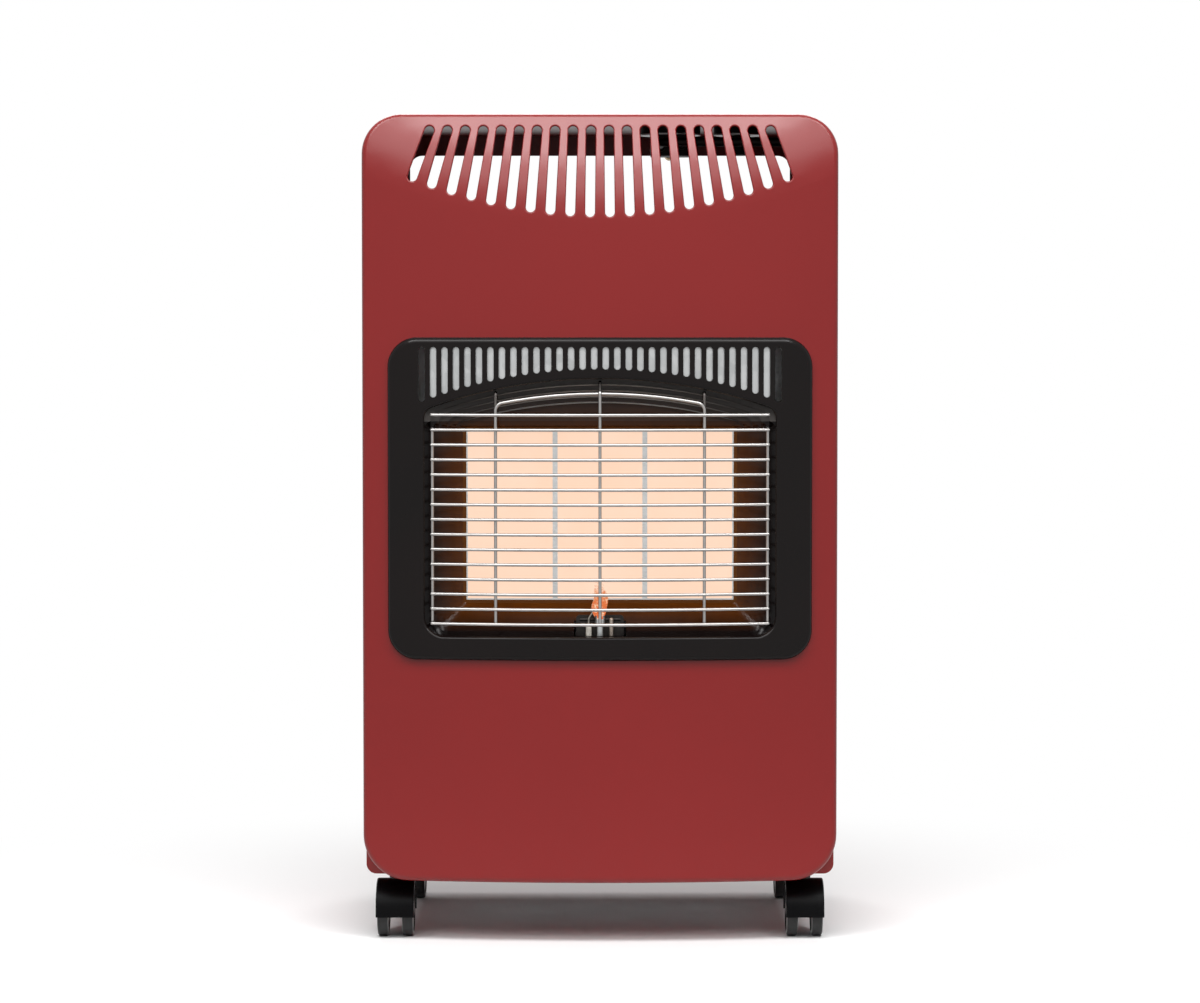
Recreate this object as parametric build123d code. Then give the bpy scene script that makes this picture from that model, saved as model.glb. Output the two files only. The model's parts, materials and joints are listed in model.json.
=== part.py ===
from build123d import *
import math
import os

# Infrared gas cabinet heater on four twin-wheel casters, in millimetres.
# The front faces -Y and +Z is up. The origin is on the floor, midway across the width
# and midway between the front wires of the guard and the back of the rear cover.

# Cabinet
WIDTH = 420.0
HEIGHT = 733.0
DEPTH = 365.0
SHEET = 1.0
BASE_Z = 58.0
SHELL_FOOT_R = 9.0
BOTTOM_FLANGE = 45.0
SEAT_RISE = 2.0
SEAT_SIDE = 42.0
SEAT_FRONT = 10.0
TRAY_VENT_PITCH = 36.0
TRAY_VENT_LENGTH = 60.0
TRAY_VENT_WIDTH = 8.0

# Clearances
FIT = 0.3
RUNNING = 0.05

# Front panel, bowed in plan and leaning back in its top band
PANEL_SHEET = 1.5
BOW = 24.0
LEAN = 25.0
CREASE_DROP = 66.0
BLEND_R = 135.0
PANEL_Z = 55.5
PANEL_TOP_R = 35.0
PANEL_FOOT_R = 40.0
PANEL_EDGE_R = 5.0
SKIRT = 20.0
LIP = 12.0
FOOT_LIP = 28.0
TONGUE = 8.0

# Fanned grille in the top band
GRILLE_SIDE = 50.0
GRILLE_PITCH = 15.8
GRILLE_WIDTH = 8.4
GRILLE_TOP_IN = 11.0
GRILLE_DROP = 25.5
GRILLE_FAN = 1.097
GRILLE_RIM_R = 1.2

# Burner bezel
BEZEL_SIDE = 23.0
BEZEL_DROP = 105.0
BEZEL_HEIGHT = 284.0
BEZEL_R = 26.0
BEZEL_PROUD = 6.0
BEZEL_EDGE_R = 5.0
BEZEL_SHEET = 1.2
BEZEL_LAP = 7.0
VENT_SIDE = 7.5
VENT_PITCH = 10.1
VENT_WIDTH = 5.7
VENT_TOP_GAP = 8.5
VENT_ARCH_GAP = 8.4
VENT_PLATE_LAP = 3.0

# Arched opening in the bezel and the cowl behind it
OPENING_SIDE = 32.5
OPENING_RISE = 21.0
OPENING_FOOT_R = 18.0
OPENING_SHOULDER_R = 10.0
OPENING_EDGE_R = 2.4
OPENING_LIP = 6.0
ARCH_IN = 36.5
ARCH_DROP = 27.5
THROAT = 20.0
COWL_BACK = 40.0
COWL_WALL = 1.6
COWL_STEPS = 4
STEP_RISE = 5.3
COWL_FLANGE = 6.0
COWL_REAR_FLANGE = 10.0
FIELD_R = 3.0

# Burner with three ceramic plaques
PLAQUES = 3
PLAQUE_T = 12.0
PLAQUE_LAP = 1.5
RIB = 4.4
FRAME_LIP = 2.7
FRAME_SIDE = 34.45
FRAME_RISE = 28.5
FRAME_DROP = 17.1
FRAME_SHEET = 1.5
CHAMBER = 17.0
BOX_WALL = 2.0
LEDGE = 3.0
MIXER_R = 8.0
MIXER_LENGTH = 60.0
MIXER_MOUTH_R = 12.0
JET_GAP = 5.0
JET_LENGTH = 14.0
JET_R = 4.0
JET_BORE_R = 1.0
MANIFOLD_R = 6.0
STRAP = 7.0

# Pilot group in front of the middle plaque
PILOT_BACK = 5.0
PILOT_SPACING = 10.0
PILOT_RISE = 17.5
PILOT_DROP = 12.0
PILOT_R = 3.0
PILOT_RIB_PITCH = 4.0
PROBE_R = 2.0
ELECTRODE_R = 2.6
BRACKET_HALF = 21.0
BRACKET_SHEET = 1.5

# Wire guard
GUARD_PITCH = 13.12
GUARD_DROP = 31.5
GUARD_FOOT = 11.0
GUARD_SIDE = 6.5
GUARD_SIDE_DROP = 11.5
GUARD_SAG = 18.7
GUARD_PROUD = 6.0
GUARD_LEG = 16.0
WIRE = 2.8
WELD = 0.5
ARCH_WIRE_IN = 56.5
ARCH_WIRE_TOP = 13.0
ARCH_WIRE_DROP = 9.0
ARCH_WIRE_BEND = 7.0

# Controls sunk in the top
KNOB_SPREAD = 63.0
KNOB_WELL_R = 27.5
IGNITER_SIDE = 83.0
IGNITER_WELL_R = 23.5
WELL_Y = -32.0
WELL_DEPTH = 10.5
WELL_WALL = 1.5
WELL_RIM = 3.0
DISC_T = 1.2
KNOB_R = 21.0
KNOB_RISE = 6.0
KNOB_TRAVEL = 4.0
KNOB_SKIRT = 4.0
KNOB_GRIP = 11.0
KNOB_CAP = 1.5
SPINDLE_R = 4.0
DRIVE_FLAT = 1.2
BUTTON_R = 10.0
BUTTON_CLEAR = 0.5
BUTTON_TRAVEL = 6.0
BUTTON_STEM_R = 3.0
BUTTON_STEM_LENGTH = 8.0
IGNITER_R = 10.0
IGNITER_H = 18.0
BLADE_WIDTH = 6.3
BLADE_LENGTH = 6.0

# Gas valve, its inlet and the pipes
VALVE_W = 36.0
VALVE_D = 32.0
VALVE_H = 19.0
VALVE_EDGE_R = 5.0
OUTLET_SPREAD = 10.0
OUTLET_BOSS = 4.0
OUTLET_WALL = 2.0
NOZZLE_R = 4.5
NOZZLE_TILT = 10.0
NOZZLE_LENGTH = 36.0
NOZZLE_BARBS = 3
BARB = 0.8
PIPE_R = 4.0
PIPE_BEND = 14.0
PIPE_IN = 34.0
PILOT_PIPE_R = 2.0

# Back of the cabinet
REAR_FLANGE = 25.0
REAR_RAIL = 20.0
REAR_CORNER_R = 12.0
SILL = 20.0
SHIELD_GAP = 5.0
SHIELD_FOLD = 15.0
SHIELD_DROP = 99.0
COVER_DEPTH = 13.0
COVER_SIDE = 4.0
COVER_Z = 63.0
COVER_DROP = 111.0
COVER_R = 14.0
COVER_EDGE_R = 6.0
COVER_VENT_PITCH = 26.0
COVER_VENT_LENGTH = 60.0
COVER_VENT_WIDTH = 6.0
COVER_VENT_IN = 60.0
STUD_IN = 13.0
STUD_R = 3.0
STUD_DROP = 47.0
STUD_HEAD_R = 5.0
STUD_HEAD_H = 2.0
STUD_HEAD_GAP = 1.0
HOOK_WIDTH = 18.0
HOOK_GAP = 2.0
TONGUE_WIDTH = 30.0

# Twin-wheel casters
CASTER_SIDE = 27.0
CASTER_FRONT = 78.0
CASTER_REAR = 45.0
TRAIL = 17.0
WHEEL_R = 24.0
WHEEL_WIDTH = 9.8
WHEEL_GAP = 12.5
WHEEL_DISH = 1.0
TREAD_R = 1.8
HUB_CAP = 2.0
AXLE_R = 3.0
HOOD_WIDTH = 34.0
HOOD_WALL = 2.5
HOOD_CLEAR = 1.0
HOOD_FOOT_Z = 20.0
WEB_CLEAR = 0.5
STEM_R = 3.5
STEM_FOOT_Z = 32.0
COLLAR_R = 6.3
COLLAR_H = 6.0
STUD_NUT_R = 7.0
STUD_NUT_H = 6.0

# Screws
SCREW_R = 2.0
SCREW_HEAD_R = 4.0
SCREW_HEAD_H = 2.4
SCREW_TAIL = 6.0
PANEL_SCREW_IN = 104.0
FOOT_SCREW_SIDE = 105.0

# Planes across the depth
GUARD_Y = -DEPTH / 2
BEZEL_Y = GUARD_Y + GUARD_PROUD
PANEL_Y = BEZEL_Y + BEZEL_PROUD
SEAM_Y = PANEL_Y + BOW + SKIRT
BACK_Y = DEPTH / 2
REAR_Y = BACK_Y - COVER_DEPTH - FIT
THROAT_Y = BEZEL_Y + THROAT
COWL_Y = PANEL_Y + COWL_BACK
PLAQUE_Y = COWL_Y + FRAME_SHEET
CHAMBER_Y = PLAQUE_Y + PLAQUE_T
MIXER_Y = CHAMBER_Y + CHAMBER / 2
BOX_BACK_Y = CHAMBER_Y + CHAMBER + BOX_WALL
SHIELD_Y = BOX_BACK_Y + SHIELD_GAP
PILOT_Y = THROAT_Y + PILOT_BACK
PILOT_PLATE_Y = PILOT_Y + PILOT_R + 2 * BRACKET_SHEET
FRONT_SWIVEL_Y = PANEL_Y + CASTER_FRONT
REAR_SWIVEL_Y = REAR_Y - CASTER_REAR

# Levels
TOP_Z = HEIGHT - PANEL_SHEET
TRAY_Z = BASE_Z + 2 * SHEET
NUT_Z = TRAY_Z
COLLAR_Z = BASE_Z - COLLAR_H
CREASE_Z = HEIGHT - CREASE_DROP
GRILLE_TOP_Z = HEIGHT - GRILLE_TOP_IN
GRILLE_LOW_Z = CREASE_Z - GRILLE_DROP
BEZEL_TOP_Z = GRILLE_LOW_Z - BEZEL_DROP
BEZEL_Z = BEZEL_TOP_Z - BEZEL_HEIGHT
OPENING_Z = BEZEL_Z + OPENING_RISE
ARCH_Z = BEZEL_TOP_Z - ARCH_IN
SHOULDER_Z = ARCH_Z - ARCH_DROP
COWL_GROW = BEZEL_SHEET + FIT
THROAT_UNDER_Z = OPENING_Z - COWL_GROW - COWL_WALL
PILOT_TIP_Z = OPENING_Z + PILOT_RISE
PILOT_FOOT_Z = THROAT_UNDER_Z - PILOT_DROP
FRAME_Z = OPENING_Z + FRAME_RISE
FIELD_TOP_Z = SHOULDER_Z - FRAME_DROP
PLAQUE_WINDOW_H = FIELD_TOP_Z - FRAME_Z - 2 * FRAME_LIP
BOX_Z = FRAME_Z + FRAME_LIP - PLAQUE_LAP - FIT - BOX_WALL
BOX_TOP_Z = FIELD_TOP_Z - FRAME_LIP + PLAQUE_LAP + FIT + BOX_WALL
JET_TIP_Z = BOX_Z - MIXER_LENGTH - JET_GAP
MANIFOLD_Z = JET_TIP_Z - JET_LENGTH - MANIFOLD_R - SHEET
GUARD_TOP_Z = ARCH_Z - GUARD_DROP
GUARD_SIDE_TOP_Z = GUARD_TOP_Z - GUARD_SIDE_DROP
GUARD_BARS = 1 + int((GUARD_TOP_Z - OPENING_Z - GUARD_FOOT) / GUARD_PITCH)
GUARD_LOW_Z = GUARD_TOP_Z - (GUARD_BARS - 1) * GUARD_PITCH
ARCH_WIRE_Z = ARCH_Z - ARCH_WIRE_TOP
SHIELD_TOP_Z = HEIGHT - SHIELD_DROP
COVER_TOP_Z = HEIGHT - COVER_DROP
STUD_Z = COVER_TOP_Z - STUD_DROP
WELL_FLOOR_Z = TOP_Z - WELL_DEPTH
WELL_INNER_Z = WELL_FLOOR_Z + WELL_WALL
DISC_Z = WELL_FLOOR_Z - DISC_T
VALVE_Z = DISC_Z - VALVE_H / 2
KNOB_Z = WELL_INNER_Z + KNOB_TRAVEL + 2 * FIT
KNOB_TOP_Z = TOP_Z + KNOB_RISE
SPINDLE_TOP_Z = KNOB_TOP_Z - KNOB_CAP - KNOB_TRAVEL - FIT
BUTTON_Z = WELL_INNER_Z + BUTTON_TRAVEL + FIT
BUTTON_TOP_Z = TOP_Z + KNOB_RISE
BUTTON_STEM_Z = DISC_Z - BUTTON_STEM_LENGTH

# Places across the width
SHELL_HALF = WIDTH / 2 - PANEL_SHEET
SEAT_HALF = SHELL_HALF - SEAT_SIDE
TRAY_VENTS = int(2 * SEAT_HALF / TRAY_VENT_PITCH) - 2
GRILLE_SLOTS = int((WIDTH - 2 * GRILLE_SIDE) / GRILLE_PITCH)
BEZEL_WIDTH = WIDTH - 2 * BEZEL_SIDE
OPENING_WIDTH = BEZEL_WIDTH - 2 * OPENING_SIDE
VENT_SLOTS = int((OPENING_WIDTH + 2 * VENT_SIDE) / VENT_PITCH)
FIELD_HALF = OPENING_WIDTH / 2 - FRAME_SIDE
PLAQUE_WINDOW_W = (2 * (FIELD_HALF - FRAME_LIP) - (PLAQUES - 1) * RIB) / PLAQUES
GUARD_HALF = OPENING_WIDTH / 2 - GUARD_SIDE
GUARD_SIDE_X = GUARD_HALF - WELD
ARCH_WIRE_X = GUARD_HALF - ARCH_WIRE_IN
COVER_WIDTH = WIDTH - 2 * COVER_SIDE
COVER_VENTS = int((COVER_WIDTH - 2 * COVER_VENT_IN) / COVER_VENT_PITCH)
STUD_X = COVER_WIDTH / 2 - STUD_IN
CASTER_X = WIDTH / 2 - CASTER_SIDE
IGNITER_X = WIDTH / 2 - IGNITER_SIDE
KNOB_X = IGNITER_X - KNOB_SPREAD
SUPPLY_X = KNOB_X - OUTLET_SPREAD
PILOT_X = KNOB_X + OUTLET_SPREAD
PIPE_X = WIDTH / 2 - PIPE_IN
FOOT_SCREW_X = WIDTH / 2 - FOOT_SCREW_SIDE
WEB_HALF = WHEEL_GAP / 2 - WEB_CLEAR

# Curves of the front: bow of the panel, arch of the opening and bow of the guard
BOW_R = (WIDTH**2 / 4 + BOW**2) / (2 * BOW)
SMILE = 4 * BOW / WIDTH**2 / math.tan(math.radians(LEAN))
ARCH_R = (OPENING_WIDTH**2 / 4 + ARCH_DROP**2) / (2 * ARCH_DROP)
GUARD_BOW_R = (GUARD_HALF**2 + GUARD_SAG**2) / (2 * GUARD_SAG)


def slab(x0, x1, y0, y1, z0, z1):
    """Box given by its limits."""
    return Pos((x0 + x1) / 2, (y0 + y1) / 2, (z0 + z1) / 2) * Box(x1 - x0, y1 - y0, z1 - z0)


def along_x(sketch, x0, x1):
    """Side-view sketch (Y, Z) carried from x0 to x1."""
    return extrude(Plane.YZ.offset(x0) * sketch, amount=x1 - x0)


def along_y(sketch, y0, y1):
    """Front-view sketch (X, Z) carried from y0 to y1."""
    return extrude(Plane.XZ.offset(-y0) * sketch, amount=y0 - y1)


def along_z(sketch, z0, z1):
    """Plan sketch (X, Y) carried from z0 to z1."""
    return extrude(Plane.XY.offset(z0) * sketch, amount=z1 - z0)


def rod_x(y, z, radius, x0, x1):
    return along_x(Pos(y, z) * Circle(radius), x0, x1)


def rod_y(x, z, radius, y0, y1):
    return along_y(Pos(x, z) * Circle(radius), y0, y1)


def rod_z(x, y, radius, z0, z1):
    return along_z(Pos(x, y) * Circle(radius), z0, z1)


def bent_rod(points, bend, radius):
    """Round wire or tube along straight runs joined by bends."""
    path = FilletPolyline(*points, radius=bend)
    return sweep(Plane(path @ 0, z_dir=path % 0) * Circle(radius), path)


def outline(half, z0, z1, foot_r, top_r):
    """Upright outline with its own radius at the foot and at the top."""
    face = Pos(0, (z0 + z1) / 2) * Rectangle(2 * half, z1 - z0)
    face = fillet(face.vertices().group_by(Axis.Y)[0], foot_r)
    return fillet(face.vertices().group_by(Axis.Y)[-1], top_r)


def slot_between(start, end, width):
    """Round-ended slot between two centres."""
    run = end - start
    middle = (start + end) / 2
    angle = math.degrees(math.atan2(run.Y, run.X))
    return Pos(middle.X, middle.Y) * Rot(0, 0, angle) * SlotCenterToCenter(run.length, width)


def bowed(inset):
    """Everything behind the bowed face, drawn `inset` behind the panel's skin."""
    tall = HEIGHT + DEPTH
    drum = Pos(0, PANEL_Y + BOW_R) * extrude(Circle(BOW_R - inset), amount=tall)
    return drum & slab(-0.6 * WIDTH, 0.6 * WIDTH, PANEL_Y - BOW, BACK_Y, 0, tall)


def bow_y(x, inset=0.0):
    """Y of the bowed face at x."""
    return PANEL_Y + BOW_R - math.sqrt((BOW_R - inset) ** 2 - x**2)


def skin_y(x, z):
    """Y of the panel's skin at a point of its front view, blend and lean included."""
    lean = math.radians(LEAN)
    face_y = bow_y(x)
    blend_z = CREASE_Z + (face_y - PANEL_Y) / math.tan(lean) - BLEND_R * math.tan(lean / 2)
    if z < blend_z:
        return face_y
    if z < blend_z + BLEND_R * math.sin(lean):
        return face_y + BLEND_R - math.sqrt(BLEND_R**2 - (z - blend_z) ** 2)
    return PANEL_Y + (z - CREASE_Z) * math.tan(lean)


def panel_form(inset, back):
    """Filled form under the panel's skin, drawn `inset` inside it and closed at `back`."""
    lean = math.radians(LEAN)
    crease_at = Pos(PANEL_Y + inset * math.cos(lean), CREASE_Z - inset * math.sin(lean))
    in_front = crease_at * Rot(0, 0, -LEAN) * Pos(-DEPTH / 2, 0) * Rectangle(DEPTH, 4 * HEIGHT)
    body = bowed(inset) - along_x(in_front, -WIDTH, WIDTH)
    body = fillet(body.edges().filter_by(GeomType.ELLIPSE), BLEND_R - inset)
    face = outline(
        WIDTH / 2 - inset, PANEL_Z + inset, HEIGHT - inset, PANEL_FOOT_R - inset, PANEL_TOP_R - inset
    )
    body = body & along_y(face, PANEL_Y - BOW, back)

    def on_rim(edge):
        middle = edge @ 0.5
        if abs((edge % 0.5).Y) > 0.98 or middle.Y > back - FIT:
            return False
        across_face = PANEL_Z + PANEL_FOOT_R < middle.Z < HEIGHT - PANEL_EDGE_R
        return not (across_face and abs(middle.X) < PANEL_EDGE_R)

    return fillet(body.edges().filter_by(on_rim), PANEL_EDGE_R - inset)


def grille_slots():
    """Slots of the top grille, fanned outwards and cut off along the crease."""
    faces = []
    for index in range(GRILLE_SLOTS):
        upper_x = (index - (GRILLE_SLOTS - 1) / 2) * GRILLE_PITCH
        lower_x = upper_x * GRILLE_FAN
        upper = Vector(upper_x, GRILLE_TOP_Z - GRILLE_WIDTH / 2)
        lower = Vector(lower_x, GRILLE_LOW_Z + SMILE * lower_x**2 + GRILLE_WIDTH / 2)
        faces.append(slot_between(upper, lower, GRILLE_WIDTH))
    return Sketch() + faces


def panel_screw_places():
    """Front-view places of the screws that hold the panel's lips to the shell."""
    side_x = SHELL_HALF - LIP / 2
    low_z = PANEL_Z + PANEL_SCREW_IN
    high_z = HEIGHT - PANEL_SCREW_IN
    places = [(sign * side_x, z) for sign in (-1, 1) for z in (low_z, (low_z + high_z) / 2, high_z)]
    foot_z = BASE_Z + FOOT_LIP / 2
    return places + [(sign * FOOT_SCREW_X, foot_z) for sign in (-1, 1)]


def screw_holes(places, y0, y1):
    return [rod_y(x, z, SCREW_R, y0, y1) for x, z in places]


def grille_form():
    """Filled form under the panel's skin with the grille slots cut and their rims rolled."""
    slots = grille_slots()
    form = panel_form(0, SEAM_Y) - along_y(slots, PANEL_Y - BOW, SEAM_Y)
    slot_lines = slots.edges()

    def on_slot_rim(edge):
        middle = edge @ 0.5
        if abs(middle.Y - skin_y(middle.X, middle.Z)) > PANEL_SHEET / 2:
            return False
        return min(line.distance_to(Vector(middle.X, middle.Z)) for line in slot_lines) < RUNNING

    return fillet(form.edges().filter_by(on_slot_rim), GRILLE_RIM_R)


def front_panel():
    """Pressed skin with a return lip, the bezel window and the rolled grille slots."""
    skin = grille_form() - panel_form(PANEL_SHEET, SEAM_Y - PANEL_SHEET)
    back = outline(
        WIDTH / 2 - LIP, PANEL_Z + FOOT_LIP, TOP_Z, PANEL_FOOT_R - LIP, PANEL_TOP_R - PANEL_SHEET
    )
    skin -= along_y(back, SEAM_Y - PANEL_SHEET, SEAM_Y)
    window = outline(
        BEZEL_WIDTH / 2 - BEZEL_LAP,
        BEZEL_Z + BEZEL_LAP,
        BEZEL_TOP_Z - BEZEL_LAP,
        BEZEL_R - BEZEL_LAP,
        BEZEL_R - BEZEL_LAP,
    )
    skin -= along_y(window, PANEL_Y - BOW, SEAM_Y)
    return skin - screw_holes(panel_screw_places(), SEAM_Y - PANEL_SHEET, SEAM_Y)


def shell_outline(inset):
    """Front outline of the cabinet shell, just inside the panel's outline."""
    return outline(
        SHELL_HALF - inset,
        BASE_Z + inset,
        TOP_Z - inset,
        SHELL_FOOT_R - inset,
        PANEL_TOP_R - PANEL_SHEET - inset,
    )


def caster_places():
    """Plan places of the four swivel axes, by name."""
    places = {}
    for end, y in (("front", FRONT_SWIVEL_Y), ("rear", REAR_SWIVEL_Y)):
        places[end + "_left"] = (-CASTER_X, y)
        places[end + "_right"] = (CASTER_X, y)
    return places


def stud_holes(z0, z1):
    return [rod_z(x, y, STEM_R, z0, z1) for x, y in caster_places().values()]


def cabinet_shell():
    """Wrapped sheet with front and rear flanges and the holes for wells and casters."""
    shell = along_y(shell_outline(0), SEAM_Y, REAR_Y)
    shell -= along_y(shell_outline(SHEET), SEAM_Y + SHEET, REAR_Y - SHEET)
    half = SHELL_HALF
    front_top_r = PANEL_TOP_R - PANEL_SHEET - SHEET
    front = outline(half - LIP, BASE_Z + FOOT_LIP, TOP_Z - SHEET, PANEL_FOOT_R - LIP, front_top_r)
    shell -= along_y(front, SEAM_Y, SEAM_Y + SHEET)
    rear = outline(half - REAR_FLANGE, BASE_Z + SILL, TOP_Z - REAR_RAIL, REAR_CORNER_R, REAR_CORNER_R)
    shell -= along_y(rear, REAR_Y - SHEET, REAR_Y)
    bottom = half - BOTTOM_FLANGE
    shell -= slab(
        -bottom, bottom, SEAM_Y + BOTTOM_FLANGE, REAR_Y - BOTTOM_FLANGE, BASE_Z, BASE_Z + SHEET
    )
    tongue = half - LIP - PANEL_TOP_R
    shell += slab(-tongue, tongue, SEAM_Y - TONGUE, SEAM_Y, TOP_Z - SHEET, TOP_Z)
    shell -= rod_z(KNOB_X, WELL_Y, KNOB_WELL_R, TOP_Z - SHEET, TOP_Z)
    shell -= rod_z(IGNITER_X, WELL_Y, IGNITER_WELL_R, TOP_Z - SHEET, TOP_Z)
    shell -= stud_holes(BASE_Z, BASE_Z + SHEET)
    shell -= screw_holes(panel_screw_places(), SEAM_Y, SEAM_Y + SHEET)
    return shell - [rod_y(x, STUD_Z, STUD_R, REAR_Y - SHEET, REAR_Y) for x in (-STUD_X, STUD_X)]


def base_tray():
    """Floor of the bottle bay: a sheet with a pressed seat for the bottle, vented by slots."""
    half = SHELL_HALF - SHELL_FOOT_R
    low = BASE_Z + SHEET
    seat_y0 = SHIELD_Y + SHIELD_FOLD + SEAT_FRONT
    seat_y1 = REAR_Y - REAR_FLANGE
    tray = slab(-half, half, SEAM_Y + SHEET, REAR_Y - SHEET, low, TRAY_Z)
    tray += slab(-SEAT_HALF, SEAT_HALF, seat_y0, seat_y1, low, TRAY_Z + SEAT_RISE)
    inner = SEAT_HALF - SHEET
    tray -= slab(-inner, inner, seat_y0 + SHEET, seat_y1 - SHEET, low, low + SEAT_RISE)
    vents = []
    for row in (-1, 1):
        for column in range(TRAY_VENTS):
            x = (column - (TRAY_VENTS - 1) / 2) * TRAY_VENT_PITCH
            y = (seat_y0 + seat_y1) / 2 + row * TRAY_VENT_LENGTH
            vents.append(Pos(x, y) * Rot(0, 0, 90) * SlotOverall(TRAY_VENT_LENGTH, TRAY_VENT_WIDTH))
    tray -= along_z(Sketch() + vents, low, TRAY_Z + SEAT_RISE)
    return tray - stud_holes(low, TRAY_Z)


def heat_shield():
    """Upright sheet between the burner and the bottle, folded at its sides and top."""
    half = SHELL_HALF - SHEET
    shield = slab(-half, half, SHIELD_Y, SHIELD_Y + SHIELD_FOLD, TRAY_Z, SHIELD_TOP_Z)
    inner = half - SHEET
    back_y = SHIELD_Y + SHIELD_FOLD
    shield -= slab(-inner, inner, SHIELD_Y + SHEET, back_y, TRAY_Z, SHIELD_TOP_Z - SHEET)
    notch = STUD_NUT_R + SHEET
    notch_z = NUT_Z + STUD_NUT_H + 2 * SHEET
    for x in (-CASTER_X, CASTER_X):
        shield -= slab(x - notch, x + notch, SHIELD_Y, back_y, TRAY_Z, notch_z)
    return shield & along_y(shell_outline(SHEET), SHIELD_Y, back_y)


def cover_form(inset, y0):
    """Filled form under the cover's skin, drawn `inset` inside it and cut off at its foot."""
    half = COVER_WIDTH / 2 - inset
    corner_r = COVER_R - inset
    face = outline(half, COVER_Z - COVER_R, COVER_TOP_Z - inset, corner_r, corner_r)
    body = along_y(face, y0, BACK_Y - inset)
    body = fillet(body.faces().sort_by(Axis.Y)[-1].edges(), COVER_EDGE_R - inset)
    return body & slab(-COVER_WIDTH, COVER_WIDTH, y0, BACK_Y, COVER_Z, COVER_TOP_Z)


def rear_cover():
    """Lift-off back with vents, two hooks for the studs and two tongues over the sill."""
    front = REAR_Y + FIT
    cover = cover_form(0, front) - cover_form(SHEET, front - SHEET)
    hook_y = REAR_Y + HOOK_GAP
    notch_r = STUD_R + FIT
    for sign in (-1, 1):
        stud_x = sign * STUD_X
        hook = Pos(stud_x, STUD_Z) * Rectangle(HOOK_WIDTH, HOOK_WIDTH)
        hook -= Pos(stud_x, STUD_Z) * Circle(notch_r)
        hook -= Pos(stud_x, STUD_Z - HOOK_WIDTH / 2) * Rectangle(2 * notch_r, HOOK_WIDTH)
        cover += along_y(hook, hook_y, hook_y + SHEET)
        wall_x = sign * (COVER_WIDTH / 2 - SHEET / 2)
        joint_x = sign * (STUD_X + HOOK_WIDTH / 2 - SHEET)
        cover += slab(
            min(wall_x, joint_x),
            max(wall_x, joint_x),
            hook_y,
            hook_y + SHEET,
            STUD_Z - HOOK_WIDTH / 2,
            STUD_Z + HOOK_WIDTH / 2,
        )
        tongue_x = sign * COVER_WIDTH / 4
        x0 = tongue_x - TONGUE_WIDTH / 2
        x1 = tongue_x + TONGUE_WIDTH / 2
        sill_z = BASE_Z + SILL + FIT
        inner_y = REAR_Y - 2 * SHEET - FIT
        cover += slab(x0, x1, inner_y, BACK_Y - SHEET / 2, sill_z, sill_z + SHEET)
        cover += slab(x0, x1, inner_y, inner_y + SHEET, sill_z - SILL / 2, sill_z)
    vents = []
    for z in (COVER_Z + COVER_VENT_IN, COVER_TOP_Z - COVER_VENT_IN):
        for index in range(COVER_VENTS):
            x = (index - (COVER_VENTS - 1) / 2) * COVER_VENT_PITCH
            vents.append(Pos(x, z) * Rot(0, 0, 90) * SlotOverall(COVER_VENT_LENGTH, COVER_VENT_WIDTH))
    return cover - along_y(Sketch() + vents, BACK_Y - SHEET, BACK_Y)


def cover_studs():
    """Headed studs riveted to the rear flanges."""
    studs = []
    head_y = REAR_Y + HOOK_GAP + SHEET + STUD_HEAD_GAP
    for x in (-STUD_X, STUD_X):
        stud = rod_y(x, STUD_Z, STUD_R, REAR_Y - SHEET, head_y)
        stud += rod_y(x, STUD_Z, STUD_HEAD_R, head_y, head_y + STUD_HEAD_H)
        stud += rod_y(x, STUD_Z, STUD_HEAD_R, REAR_Y - SHEET - STUD_HEAD_H, REAR_Y - SHEET)
        studs.append(stud)
    return Compound(studs)


def arch_z(x, top=ARCH_Z):
    """Height of the opening's arch at x."""
    return top - ARCH_R + math.sqrt(ARCH_R**2 - x**2)


def arched(half, low, top, foot_r, shoulder_r, grow):
    """Front-view face under an arch, drawn `grow` larger all round."""
    tall = top + ARCH_R
    face = Pos(0, (low - grow + tall) / 2) * Rectangle(2 * (half + grow), tall - low + grow)
    face &= Pos(0, top - ARCH_R) * Circle(ARCH_R + grow)
    face = fillet(face.vertices().group_by(Axis.Y)[0], foot_r + grow)
    return fillet(face.vertices().group_by(Axis.Y)[-1], shoulder_r + grow)


def opening(grow):
    return arched(OPENING_WIDTH / 2, OPENING_Z, ARCH_Z, OPENING_FOOT_R, OPENING_SHOULDER_R, grow)


def bezel_form(inset):
    """Filled form under the bezel's skin, drawn `inset` inside it."""
    face = outline(
        BEZEL_WIDTH / 2 - inset,
        BEZEL_Z + inset,
        BEZEL_TOP_Z - inset,
        BEZEL_R - inset,
        BEZEL_R - inset,
    )
    body = bowed(inset - BEZEL_PROUD) & along_y(face, BEZEL_Y - BOW, SEAM_Y)

    def on_rim(edge):
        return abs((edge % 0.5).Y) < 0.98 and (edge @ 0.5).Y < SEAM_Y - SHEET

    return fillet(body.edges().filter_by(on_rim), BEZEL_EDGE_R - inset)


def vent_slots():
    """Upright slots over the arch, their lower ends following it."""
    faces = []
    upper_z = BEZEL_TOP_Z - VENT_TOP_GAP - VENT_WIDTH / 2
    for index in range(VENT_SLOTS):
        x = (index - (VENT_SLOTS - 1) / 2) * VENT_PITCH
        lower_z = arch_z(x) + VENT_ARCH_GAP + VENT_WIDTH / 2
        faces.append(slot_between(Vector(x, upper_z), Vector(x, lower_z), VENT_WIDTH))
    return Sketch() + faces


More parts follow.
